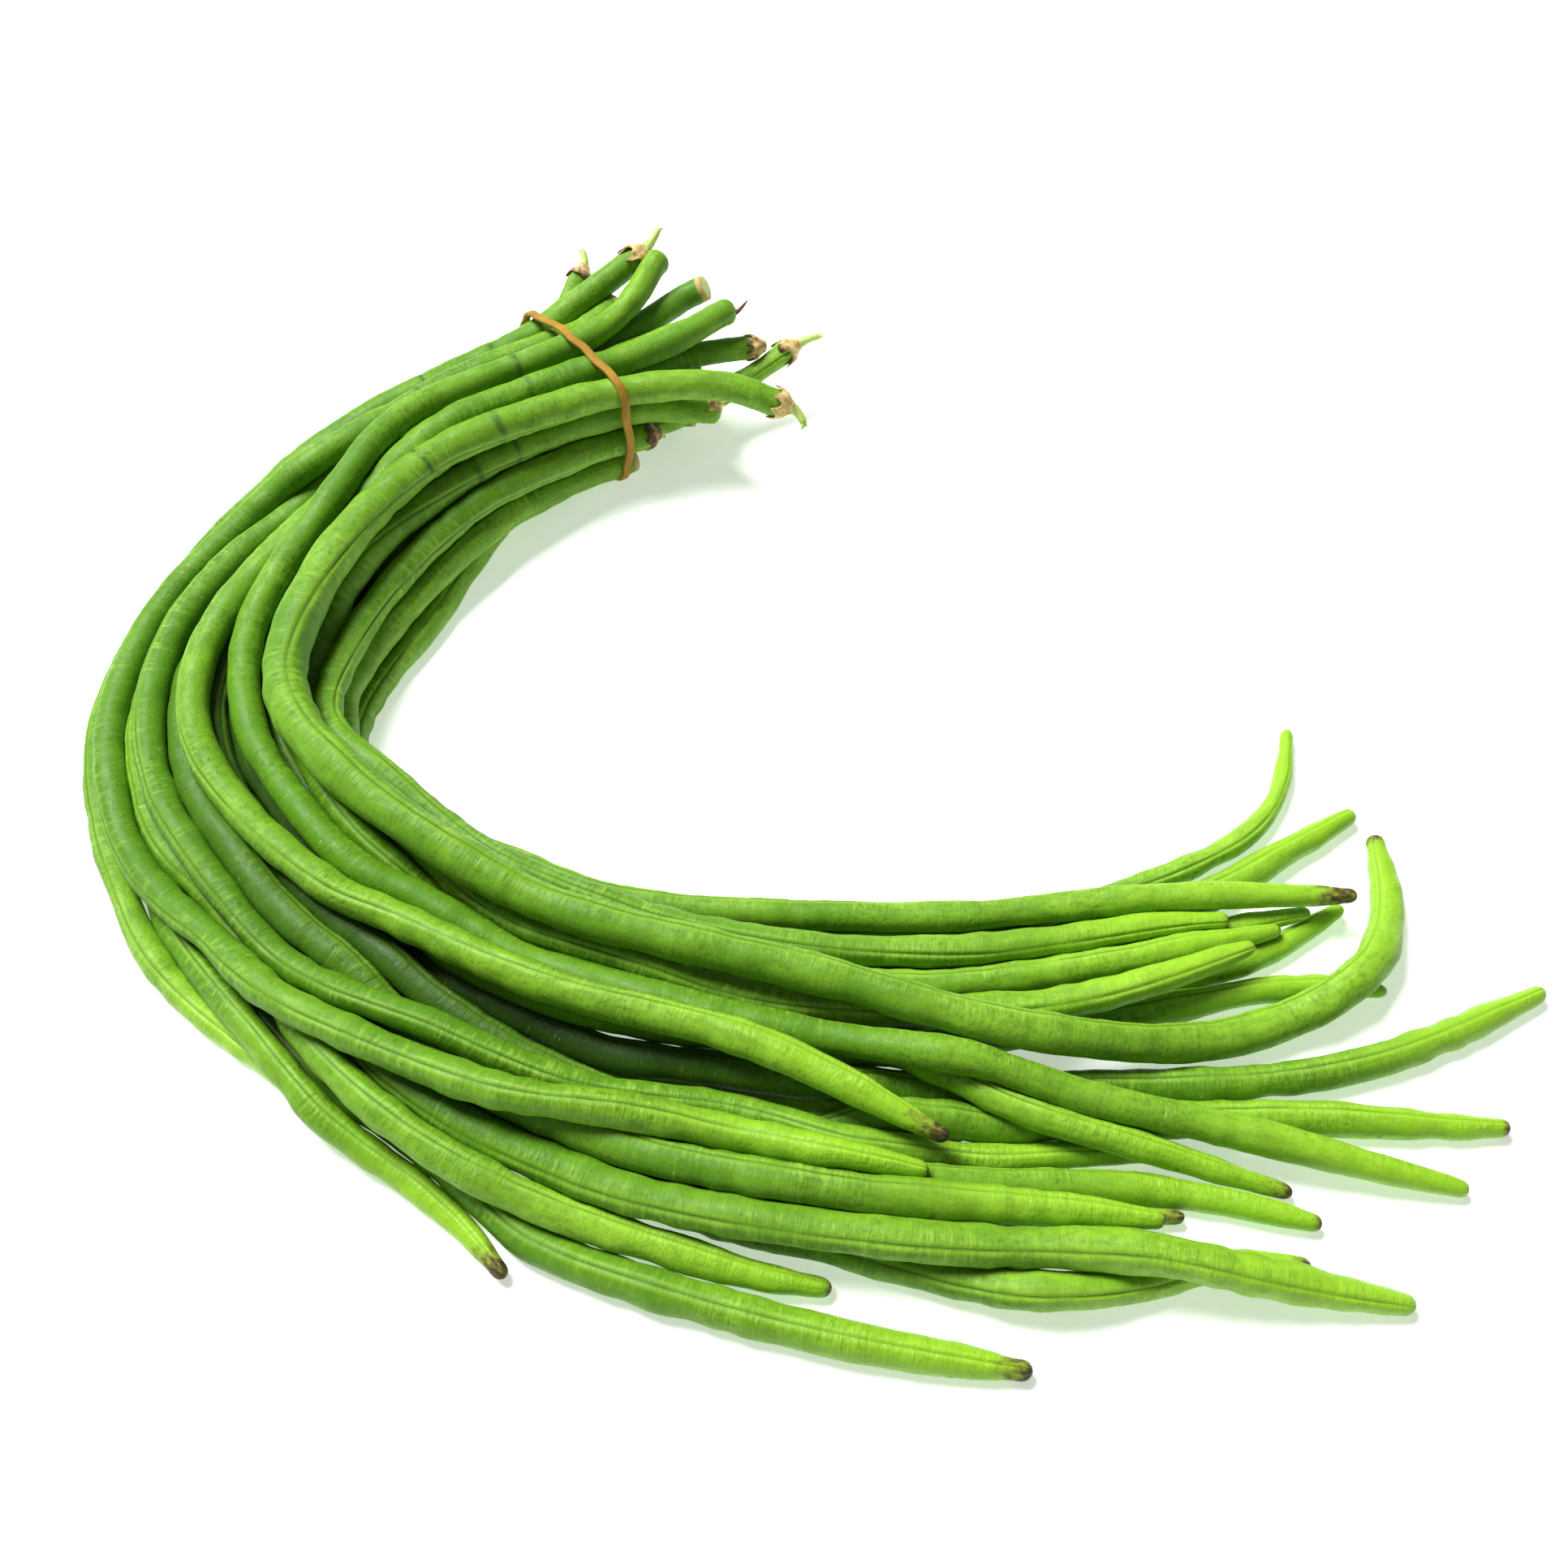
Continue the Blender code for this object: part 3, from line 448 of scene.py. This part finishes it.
    # The dead flower's end: brown creeping back, nearly black at the very tip.
    ragged = add(tree, noise, {"Vector": grain, "Scale": 0.4, "Detail": 4.0})
    dead = add(tree, math_, {0: ragged, 1: 0.5}, operation="SUBTRACT")
    dead = add(tree, math_, {0: dead, 1: 1.6, 2: at["brown"]["Fac"]}, operation="MULTIPLY_ADD")
    browned = add(tree, ramp, {0: dead, 1: 0.30, 2: 0.85, 3: 0.0, 4: 0.85})
    blackened = add(tree, ramp, {0: dead, 1: 0.72, 2: 1.05, 3: 0.0, 4: 0.85})
    # The scar where the stalk was: a corky tan ring round pale flesh.
    cork = add(tree, ramp, {0: at["scar"]["Fac"], 1: 0.25, 2: 0.6, 3: 0.0, 4: 1.0})
    flesh = add(tree, ramp, {0: at["scar"]["Fac"], 1: 1.3, 2: 1.6, 3: 0.0, 4: 1.0})
    colour = srgb("#8bbc2e")
    # Among these the crest highlight is painted light and the near-black green is painted shade.
    for share, tint in (
            (clouds, "#538512"), (mottle, "#4a7810"), (dots, "#3c690c"), (crest_highlight, "#a2cc44"),
            (rims, "#a3cf46"), (groove, "#34650f"), (young, "#9acd2c"), (deep_shade, "#1c380a"),
            (pressed, "#264f1a"), (bruise, "#5d7a26"), (speck, "#46591a"), (fleck, "#c4dc84"),
            (browned, "#6b5528"), (blackened, "#362723"), (cork, "#bfa56c"), (flesh, "#b7cf78")):
        colour = add(tree, "ShaderNodeMix", {0: share, 6: colour, 7: srgb(tint)},
                     data_type="RGBA")
    tree.links.new(colour.outputs[2], shader.inputs["Base Color"])
    gloss = add(tree, ramp, {0: mottle, 1: 0.0, 2: 0.45, 3: 0.46, 4: 0.60})
    gloss = add(tree, math_, {0: browned, 1: 0.25, 2: gloss}, operation="MULTIPLY_ADD")
    gloss = add(tree, math_, {0: young, 1: -0.30, 2: gloss}, operation="MULTIPLY_ADD")
    tree.links.new(gloss.outputs[0], shader.inputs["Roughness"])
    rough = add(tree, math_, {0: rucks, 1: rucked}, operation="MULTIPLY")
    bump = add(tree, "ShaderNodeBump", {"Height": rough, "Strength": 0.8, "Distance": 0.7 * MM})
    bump = add(tree, "ShaderNodeBump", {"Height": dots, "Strength": 0.6, "Distance": 0.25 * MM,
                                        "Normal": bump}, invert=True)
    fine = add(tree, noise, {"Vector": grain, "Scale": 1.5, "Detail": 3.0})
    bump = add(tree, "ShaderNodeBump", {"Height": fine, "Strength": 0.5,
                                        "Distance": 0.22 * MM, "Normal": bump})
    tree.links.new(bump.outputs[0], shader.inputs["Normal"])
    shader.inputs["IOR"].default_value = 1.36
    shader.inputs["Specular IOR Level"].default_value = 0.42
    shader.inputs["Subsurface Weight"].default_value = 0.08
    shader.inputs["Subsurface Radius"].default_value = (0.8, 1.0, 0.3)
    shader.inputs["Subsurface Scale"].default_value = 1.2 * MM
    return made


def grown(name, points, values, tree, inputs):
    """Runs a geometry tree over a line of points that carry these values, as a plain mesh."""
    line = bpy.data.meshes.new(name)
    line.from_pydata([tuple(p) for p in points], [(i, i + 1) for i in range(len(points) - 1)], [])
    for label, value in values.items():
        value = np.array(value, np.float32)
        if value.ndim == 2:
            line.attributes.new(label, "FLOAT_VECTOR", "POINT").data.foreach_set(
                "vector", value.ravel())
        else:
            line.attributes.new(label, "FLOAT", "POINT").data.foreach_set("value", value)
    holder = bpy.data.objects.new(name, line)
    bpy.context.scene.collection.objects.link(holder)
    growing = holder.modifiers.new("growing", "NODES")
    growing.node_group = tree
    for item in tree.interface.items_tree:
        if item.item_type == "SOCKET" and item.name in inputs:
            growing[item.identifier] = inputs[item.name]
    ready = bpy.context.evaluated_depsgraph_get()
    result = bpy.data.meshes.new_from_object(holder.evaluated_get(ready))
    bpy.data.objects.remove(holder)
    bpy.data.meshes.remove(line)
    result.name = name
    return result


def headings(points):
    """The unit directions of a line at its points."""
    way = np.gradient(points, length_along(points), axis=0)
    return way / np.linalg.norm(way, axis=1, keepdims=True)


def pod_values(name, number):
    """What each point of a pod's line carries for its shape and its colour."""
    points, girth, along = lines[name]
    full = along[-1]
    by_rule = (-90 + 47 * number % 180, -70 + 71 * number % 140, -60 + 53 * number % 120)
    seam = np.radians(np.interp(along / full, SEAM_AT, SEAMS.get(name, by_rule)))
    to_tip = full - along
    brown_reach = BROWN_TIPS.get(name, GREEN_TIP) * MM
    brown = np.clip(1.15 - to_tip / (brown_reach + 0.6 * MM), 0, 1)
    mark = sum(np.exp(-((along - place * MM) / MARK_WIDTH) ** 2) for place in MARKS.get(name, ()))
    # The pod's own tone, then the green along it, which is partly painted shade (heavy on the
    # lower pods).
    depth = DEEP.get(name, math.sin(number * 2.4) * 0.3)
    depth = depth + np.interp(along / full, GREEN_AT, GREEN_AND_SHADE[name in SHADED_LOWER_PODS])
    scar = np.zeros(len(points))
    if STEM_END[name] == "cut":
        scar = np.interp(along / MM, (-1.30, -1.2, -1.1, 0.2, 1.6), (2, 1.6, 1, 0.7, 0))
    return {"girth": girth, "along": along, "seam": seam, "heading": headings(points),
            "to_tip": to_tip, "brown": brown, "depth": depth,
            "mark": mark + np.zeros(len(points)), "scar": scar}


pod_skin_tree = skin_tree()
bean_skin = waxy_bean_skin()
skins = {}
for number, name in enumerate(PODS):
    skins[name] = grown(name, lines[name][0], pod_values(name, number), pod_skin_tree,
                        {"Seed": float(number + 1), "Material": bean_skin})


# ---- The stem ends ----
# A picked pod keeps the dry brown cup of its flower and, inside it, a piece of its thin green
# stalk, torn off at its end.  Both are part of the pod, and the cup's edge is ragged.

CUP_ROUND = 60
# (distance out from the pod's last full ring in mm, share of its size) over the outside of the cup
CUP_SHAPE = [(0.2, 1.08), (0.7, 1.10), (1.3, 1.08), (2.0, 1.02), (2.7, 0.90), (3.4, 0.74),
             (4.1, 0.60), (4.8, 0.54), (5.3, 0.40)]
CUP_WALL = 0.28 * MM
CUP_LOBES = 5
# Each cup: how far its torn lobes reach back over the pod in mm, and how dark it has dried.
CUPS = {"pod_01": (4.5, 0.1), "pod_02": (1.2, 0.55), "pod_13": (2.5, 0.35), "pod_19": (2.4, 0.0),
        "pod_21": (2.4, 0.45), "pod_22": (3.0, 0.3), "pod_24": (2.2, 0.3), "pod_25": (1.5, 0.85)}
# A hooked head can carry its cup on its upper side: which way that cup points.
HEAD_CUPS = {"pod_21": (0.75, -0.1, 0.6)}
# Each stalk: its length in mm and the way it leans over.
STALK_FROM = 3.6
STALK_WAYS = {"pod_01": (8.0, (0.1, 0.9, 0.3)), "pod_02": (6.2, (-0.6, 0.6, 0.4)),
              "pod_19": (8.0, (-0.2, -0.9, -0.4)), "pod_21": (3.4, (-0.9, -0.3, 0.2)),
              "pod_22": (8.0, (0.5, -0.2, 0.2)),
              "pod_24": (4.5, (-0.5, -0.6, 0.6)), "pod_25": (3.2, (0.2, -0.6, -0.5))}
STALK_SHARES = ((0, 0.15, 0.5, 0.85, 0.97, 1), (0.50, 0.46, 0.33, 0.28, 0.20, 0.02))
SPLINTER_SHARES = ((0, 0.3, 0.8, 1), (0.20, 0.17, 0.09, 0.01))
# The dark thread that one rounded stem end keeps beside its head: where it bends to.
THREAD_WAY = Vector((0.35, 0.5, 0.8))


def noise_round(turn, seed, waves=(2, 3, 5, 7, 11, 17)):
    """A closed wavy value round a circle, about -1 to 1, always the same for the same seed."""
    return sum(math.sin(w * turn + seed * (w + 1.7)) / w**0.6 for w in waves) / 2.4


def dry_flower_cup():
    """Dead calyx tissue, dried on the plant.  It is papery and tan, browner where it is torn."""
    made, tree, shader = new_material("dry_flower_cup")
    place = add(tree, "ShaderNodeTexCoord").outputs["Object"]
    dried = add(tree, "ShaderNodeAttribute", attribute_name="dried").outputs["Fac"]
    patches = add(tree, "ShaderNodeTexNoise", {"Vector": place, "Scale": 380.0, "Detail": 5.0,
                                               "Roughness": 0.7})
    tint = add(tree, "ShaderNodeMapRange", {0: patches, 1: 0.38, 2: 0.60})
    tone = add(tree, "ShaderNodeMix", {0: tint, 6: srgb("#ab8446"), 7: srgb("#e8cf8c")},
               data_type="RGBA")
    burnt = add(tree, "ShaderNodeMath", {0: patches, 1: -1.6, 2: 0.95}, operation="MULTIPLY_ADD")
    burnt = add(tree, "ShaderNodeMath", {0: burnt, 1: dried}, operation="ADD")
    burnt = add(tree, "ShaderNodeMapRange", {0: burnt, 1: 0.50, 2: 1.15, 3: 0.0, 4: 0.95})
    tone = add(tree, "ShaderNodeMix", {0: burnt, 6: tone.outputs[2], 7: srgb("#4b311d")},
               data_type="RGBA")
    tree.links.new(tone.outputs[2], shader.inputs["Base Color"])
    bump = add(tree, "ShaderNodeBump", {"Height": patches, "Strength": 0.8,
                                        "Distance": 0.5 * MM})
    tree.links.new(bump.outputs[0], shader.inputs["Normal"])
    shader.inputs["Roughness"].default_value = 0.85
    return made


def fresh_stalk():
    """The living stalk.  It is pale yellow green, faintly ribbed along its length."""
    made, tree, shader = new_material("fresh_green_stalk")
    grain = add(tree, "ShaderNodeAttribute", attribute_name="grain").outputs["Vector"]
    ribs = add(tree, "ShaderNodeVectorMath", {0: grain, 1: (1.0, 1.0, 0.2)},
               operation="MULTIPLY")
    ribs = add(tree, "ShaderNodeTexNoise", {"Vector": ribs, "Scale": 1.0, "Detail": 2.0})
    tint = add(tree, "ShaderNodeMapRange", {0: ribs, 1: 0.35, 2: 0.65})
    tone = add(tree, "ShaderNodeMix", {0: tint, 6: srgb("#93b544"), 7: srgb("#c6da7c")},
               data_type="RGBA")
    tree.links.new(tone.outputs[2], shader.inputs["Base Color"])
    shader.inputs["Roughness"].default_value = 0.6
    return made


def flower_cup(middle, out, size, seed, cup, material):
    """A thin ragged cup round the pod's end, closed all round: outside, torn edge, inside."""
    lobe_reach, dark = cup
    side = out.cross(Vector((0, 0, 1))).normalized()
    up = side.cross(out)
    made = bmesh.new()
    dried = []
    walls = []
    for inward in (0.0, CUP_WALL):
        wall = []
        for k, (reach, share) in enumerate(CUP_SHAPE):
            fade = max(0, 1 - k / 5)
            row = []
            for i in range(CUP_ROUND):
                turn = 2 * math.pi * i / CUP_ROUND
                lobe = (0.5 + 0.5 * math.cos(CUP_LOBES * turn + 2 * math.sin(turn + seed))) ** 2
                torn = (lobe * lobe_reach + 0.7 * noise_round(turn, seed)) * fade**1.5
                crumple = 1 + 0.07 * noise_round(turn + 0.5 * k, seed + k)
                lifted = 0.35 * MM * fade * (1 + noise_round(2 * turn, seed + 5))
                radius = size * share * crumple - inward + lifted
                spot = (math.cos(turn) * side + math.sin(turn) * up) * radius
                spot = middle + spot + out * (reach - torn) * MM
                row.append(made.verts.new((spot.x, spot.y, max(spot.z, 0))))
                dried.append(dark + 0.75 * fade**2 * (0.6 + 0.4 * lobe))
            wall.append(row)
        walls.append(wall)
    rows = walls[0][::-1] + walls[1]
    for near, far in zip(rows, rows[1:] + rows[:1]):
        for i in range(CUP_ROUND):
            j = (i + 1) % CUP_ROUND
            made.faces.new((near[i], near[j], far[j], far[i]))
    bmesh.ops.recalc_face_normals(made, faces=made.faces)
    mesh = bpy.data.meshes.new("cup")
    made.to_mesh(mesh)
    made.free()
    mesh.attributes.new("dried", "FLOAT", "POINT").data.foreach_set(
        "value", np.array(dried, np.float32))
    mesh.materials.append(material)
    mesh.shade_smooth()
    return mesh


def leaning_line(start, way, length, lean, count=15):
    """Points that leave the start one way and lean over more and more."""
    share = np.linspace(0, 1, count)[:, None]
    run = share * (1 - 0.2 * share) * length * MM
    return np.array(start) + run * np.array(way) + share**2 * 0.55 * length * MM * np.array(lean)


def twig(name, points, size, shares, seed, material):
    """A thin piece of stalk along these points, on the pods' own tree."""
    run = length_along(points)
    values = {"girth": size * np.interp(run / run[-1], *shares), "along": run,
              "seam": np.zeros(len(points)), "heading": headings(points),
              "dried": np.ones(len(points))}
    return grown(name, points, values, pod_skin_tree,
                 {"Round": 14, "Seam Relief": 0.4 * MM, "Seed Swelling": 0.0,
                  "Lump Height": 1.2 * MM, "Pebble Height": 1.0 * MM, "Ruck Height": 1.2 * MM,
                  "Seed": float(seed), "Material": material})


def torn_stalk(name, middle, out, size, length, lean, seed, material):
    """A stalk that leaves the cup, leans over and ends in three splinters."""
    lean = Vector(lean).normalized()
    points = leaning_line(middle + out * STALK_FROM * MM, out, length, lean)
    made = [twig(name, points, size, STALK_SHARES, seed, material)]
    ahead = Vector(points[-1] - points[-3]).normalized()
    aside = ahead.cross(Vector((0.3, 0.2, 1))).normalized()
    for k, spread in enumerate((-0.9, 0.1, 0.8)):
        splinter = leaning_line(points[-4], ahead, length * (0.34 + 0.05 * k),
                                aside * spread + lean * 0.3, 8)
        made.append(twig(name, splinter, size, SPLINTER_SHARES, seed + k / 3, material))
    return made


def joined(name, meshes):
    """One object from several meshes, which keep their materials and values."""
    things = [bpy.data.objects.new(name, mesh) for mesh in meshes]
    for thing in things:
        bpy.context.scene.collection.objects.link(thing)
    if len(things) > 1:
        with bpy.context.temp_override(active_object=things[0], object=things[0],
                                       selected_objects=things,
                                       selected_editable_objects=things):
            bpy.ops.object.join()
    return things[0]


cup_material, stalk_material = dry_flower_cup(), fresh_stalk()
for number, name in enumerate(PODS):
    points, girth, along = lines[name]
    first = int(np.argmin(np.abs(along)))
    middle, size = Vector(points[first]), girth[first]
    out = Vector(points[first] - points[first + 2]).normalized()
    if name in HEAD_CUPS:
        out = Vector(HEAD_CUPS[name]).normalized()
        middle, size = middle + out * size * 0.45, size * 0.7
    meshes = [skins[name]]
    if name in CUPS:
        meshes.append(flower_cup(middle, out, size, number, CUPS[name], cup_material))
    if name in STALK_WAYS:
        meshes += torn_stalk(name, middle, out, size, *STALK_WAYS[name], number, stalk_material)
    if name == "pod_20":
        beside = middle + out * 3.4 * MM + out.cross(Vector((0, 0, 1))) * size * 0.55
        thread = leaning_line(beside, out, 5.5, THREAD_WAY, 10)
        meshes.append(twig(name, thread, size, SPLINTER_SHARES, number, cup_material))
    bean = joined("bean_" + name[-2:], meshes)
    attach(bean, "root")
    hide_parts(name)


# ---- The rubber band ----
# One plain band of natural rubber, cut from a tube and stretched once round the bunch near its
# stems.  It slants across the pods, and its edges are rounded off by the stretch.

BAND_HEADING = math.radians(209)   # the bunch's direction at the tie
BAND_WALL = 1.0 * MM               # the node's thickness
BAND_WIDTH = 2.7 * MM
BAND_THICK = 1.35 * MM
BAND_POINTS = 260


def band_line():
    """The middle line of the band and the way out from the bunch at each point."""
    forward = Vector((math.cos(BAND_HEADING), math.sin(BAND_HEADING), 0))
    left = Vector((-forward.y, forward.x, 0))
    skin = bmesh.new()
    skin.from_mesh(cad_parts["rubber_band"].data)
    bmesh.ops.remove_doubles(skin, verts=skin.verts, dist=1e-6)
    rows = np.array([(v.co.dot(left), v.co.z, v.co.dot(forward)) for v in skin.verts])
    skin.free()
    # The two edges of the band share their places seen along the bunch.
    groups = {}
    for row in rows:
        key = next((k for k in groups if abs(k[0] - row[0]) + abs(k[1] - row[1]) < 2e-5),
                   (row[0], row[1]))
        groups.setdefault(key, []).append(row)
    places = np.array([np.mean(group, axis=0) for group in groups.values()])
    centre = places.mean(axis=0)
    found = []
    for place in places:
        apart = places - place
        near = np.abs(np.hypot(apart[:, 0], apart[:, 1]) - BAND_WALL) < 0.02 * MM
        outer = [p for p in places[near]
                 if np.hypot(*(p - centre)[:2]) > np.hypot(*(place - centre)[:2])]
        if outer:
            found.append(((place + outer[0]) / 2, outer[0] - place))
    found.sort(key=lambda pair: math.atan2(*(pair[0] - centre)[1::-1]))
    rows = np.array([np.concatenate(pair) for pair in found])
    rows = np.vstack([rows, rows[:1]])
    run = length_along(rows[:, :3])
    places = np.linspace(0, run[-1], BAND_POINTS, endpoint=False)
    rows = np.stack([np.interp(places, run, rows[:, k]) for k in range(6)], axis=1)
    for _ in range(12):
        rows = (np.roll(rows, 1, axis=0) + 2 * rows + np.roll(rows, -1, axis=0)) / 4
    turn = np.array([left, (0, 0, 1), forward])
    away = rows[:, 3:] * (1, 1, 0) @ turn
    return rows[:, :3] @ turn, away / np.linalg.norm(away, axis=1, keepdims=True)


def natural_rubber():
    """Natural latex rubber, pressed and cut.  It is ochre brown and almost matte."""
    made, tree, shader = new_material("natural_rubber")
    place = add(tree, "ShaderNodeTexCoord").outputs["Object"]
    cloud = add(tree, "ShaderNodeTexNoise", {"Vector": place, "Scale": 150.0, "Detail": 3.0})
    tint = add(tree, "ShaderNodeMapRange", {0: cloud, 1: 0.35, 2: 0.65})
    tone = add(tree, "ShaderNodeMix", {0: tint, 6: srgb("#916a12"), 7: srgb("#ab8522")},
               data_type="RGBA")
    tree.links.new(tone.outputs[2], shader.inputs["Base Color"])
    powder = add(tree, "ShaderNodeTexNoise", {"Vector": place, "Scale": 2600.0, "Detail": 2.0})
    bump = add(tree, "ShaderNodeBump", {"Height": powder, "Strength": 0.3,
                                        "Distance": 0.08 * MM})
    tree.links.new(bump.outputs[0], shader.inputs["Normal"])
    shader.inputs["Roughness"].default_value = 0.75
    shader.inputs["IOR"].default_value = 1.45
    return made


def band_tree():
    """The band's geometry tree: a rounded strip swept along the band's line."""
    tree, given = start_tree("rubber_band_strip", {"Width": BAND_WIDTH, "Thick": BAND_THICK,
                                                   "Corner": 0.5 * MM})
    away = add(tree, "GeometryNodeInputNamedAttribute", {"Name": "away"},
               data_type="FLOAT_VECTOR")
    line = add(tree, "GeometryNodeMeshToCurve", {0: given["Line"]})
    line = add(tree, "GeometryNodeSetCurveNormal", {"Curve": line, "Normal": away}, mode="FREE")
    strip = add(tree, "GeometryNodeCurvePrimitiveQuadrilateral",
                {"Width": given["Thick"], "Height": given["Width"]})
    strip = add(tree, "GeometryNodeFilletCurve",
                {"Curve": strip, "Radius": given["Corner"], "Limit Radius": True}, mode="POLY")
    strip.inputs["Count"].default_value = 4
    band = add(tree, "GeometryNodeCurveToMesh", {"Curve": line, "Profile Curve": strip,
                                                 "Scale": 1.0})
    band = add(tree, "GeometryNodeSetShadeSmooth", {0: band})
    band = add(tree, "GeometryNodeRealizeInstances", {0: band})
    band = add(tree, "GeometryNodeSetMaterial", {"Geometry": band, "Material": given["Material"]})
    add(tree, "NodeGroupOutput", {0: band})
    return tree


middles, outward = band_line()
closed = np.arange(BAND_POINTS + 1) % BAND_POINTS
strip = grown("band", middles[closed], {"away": outward[closed]}, band_tree(),
              {"Material": natural_rubber()})
welded = bmesh.new()
welded.from_mesh(strip)
bmesh.ops.remove_doubles(welded, verts=welded.verts, dist=1e-5)
bmesh.ops.recalc_face_normals(welded, faces=welded.faces)
for point in welded.verts:      # it lies flat on the table under the bunch
    point.co.z = max(point.co.z, 0)
welded.to_mesh(strip)
welded.free()
band = joined("tie_band", [strip])
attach(band, "root")
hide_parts("rubber_band")


# ---- The table and the light ----
# A plain white table under a wide soft light from the upper left, with white all round.  The
# table glows faintly, so that shadows on it stay pale.

ground = bpy.data.meshes.new("white_table")
FAR = 4                         # metres to the table's edges
ground.from_pydata([(-FAR, -FAR, 0), (FAR, -FAR, 0), (FAR, FAR, 0), (-FAR, FAR, 0)], [],
                   [(0, 1, 2, 3)])
white, tree, shader = new_material("white_paper_with_glow")
shader.inputs["Base Color"].default_value = srgb("#f4f6f4")
shader.inputs["Roughness"].default_value = 0.9
# A faint green-white glow, painted light that keeps the table's shadows pale and slightly green.
shader.inputs["Emission Color"].default_value = srgb("#f6fff2")
shader.inputs["Emission Strength"].default_value = 0.48
ground.materials.append(white)
table = bpy.data.objects.new("white_table", ground)
bpy.context.scene.collection.objects.link(table)

sky = bpy.data.worlds.new("white_room")
sky.use_nodes = True
sky.node_tree.nodes["Background"].inputs["Color"].default_value = srgb("#ffffff")
sky.node_tree.nodes["Background"].inputs["Strength"].default_value = 0.20
bpy.context.scene.world = sky

WINDOW_AT = Vector((-1.15, 1.0, 2.5))   # metres from the middle of the bunch
lamp = bpy.data.lights.new("window", "AREA")
lamp.size, lamp.energy = 1.2, 160
window = bpy.data.objects.new("window", lamp)
window.location = WINDOW_AT
window.rotation_euler = (-WINDOW_AT).to_track_quat("-Z", "Y").to_euler()
bpy.context.scene.collection.objects.link(window)
bpy.context.scene.view_settings.view_transform = "Standard"


# ---- The camera ----
# It looks down at the bunch from the front, 56 degrees below level.

lens = bpy.data.cameras.new("camera")
lens.lens, lens.sensor_width = 39.13, 36.0
camera = bpy.data.objects.new("camera", lens)
camera.location = (0.0011, -0.2926, 0.4125)
camera.rotation_euler = (math.radians(90 - 56), 0, 0)
bpy.context.scene.collection.objects.link(camera)
bpy.context.scene.camera = camera
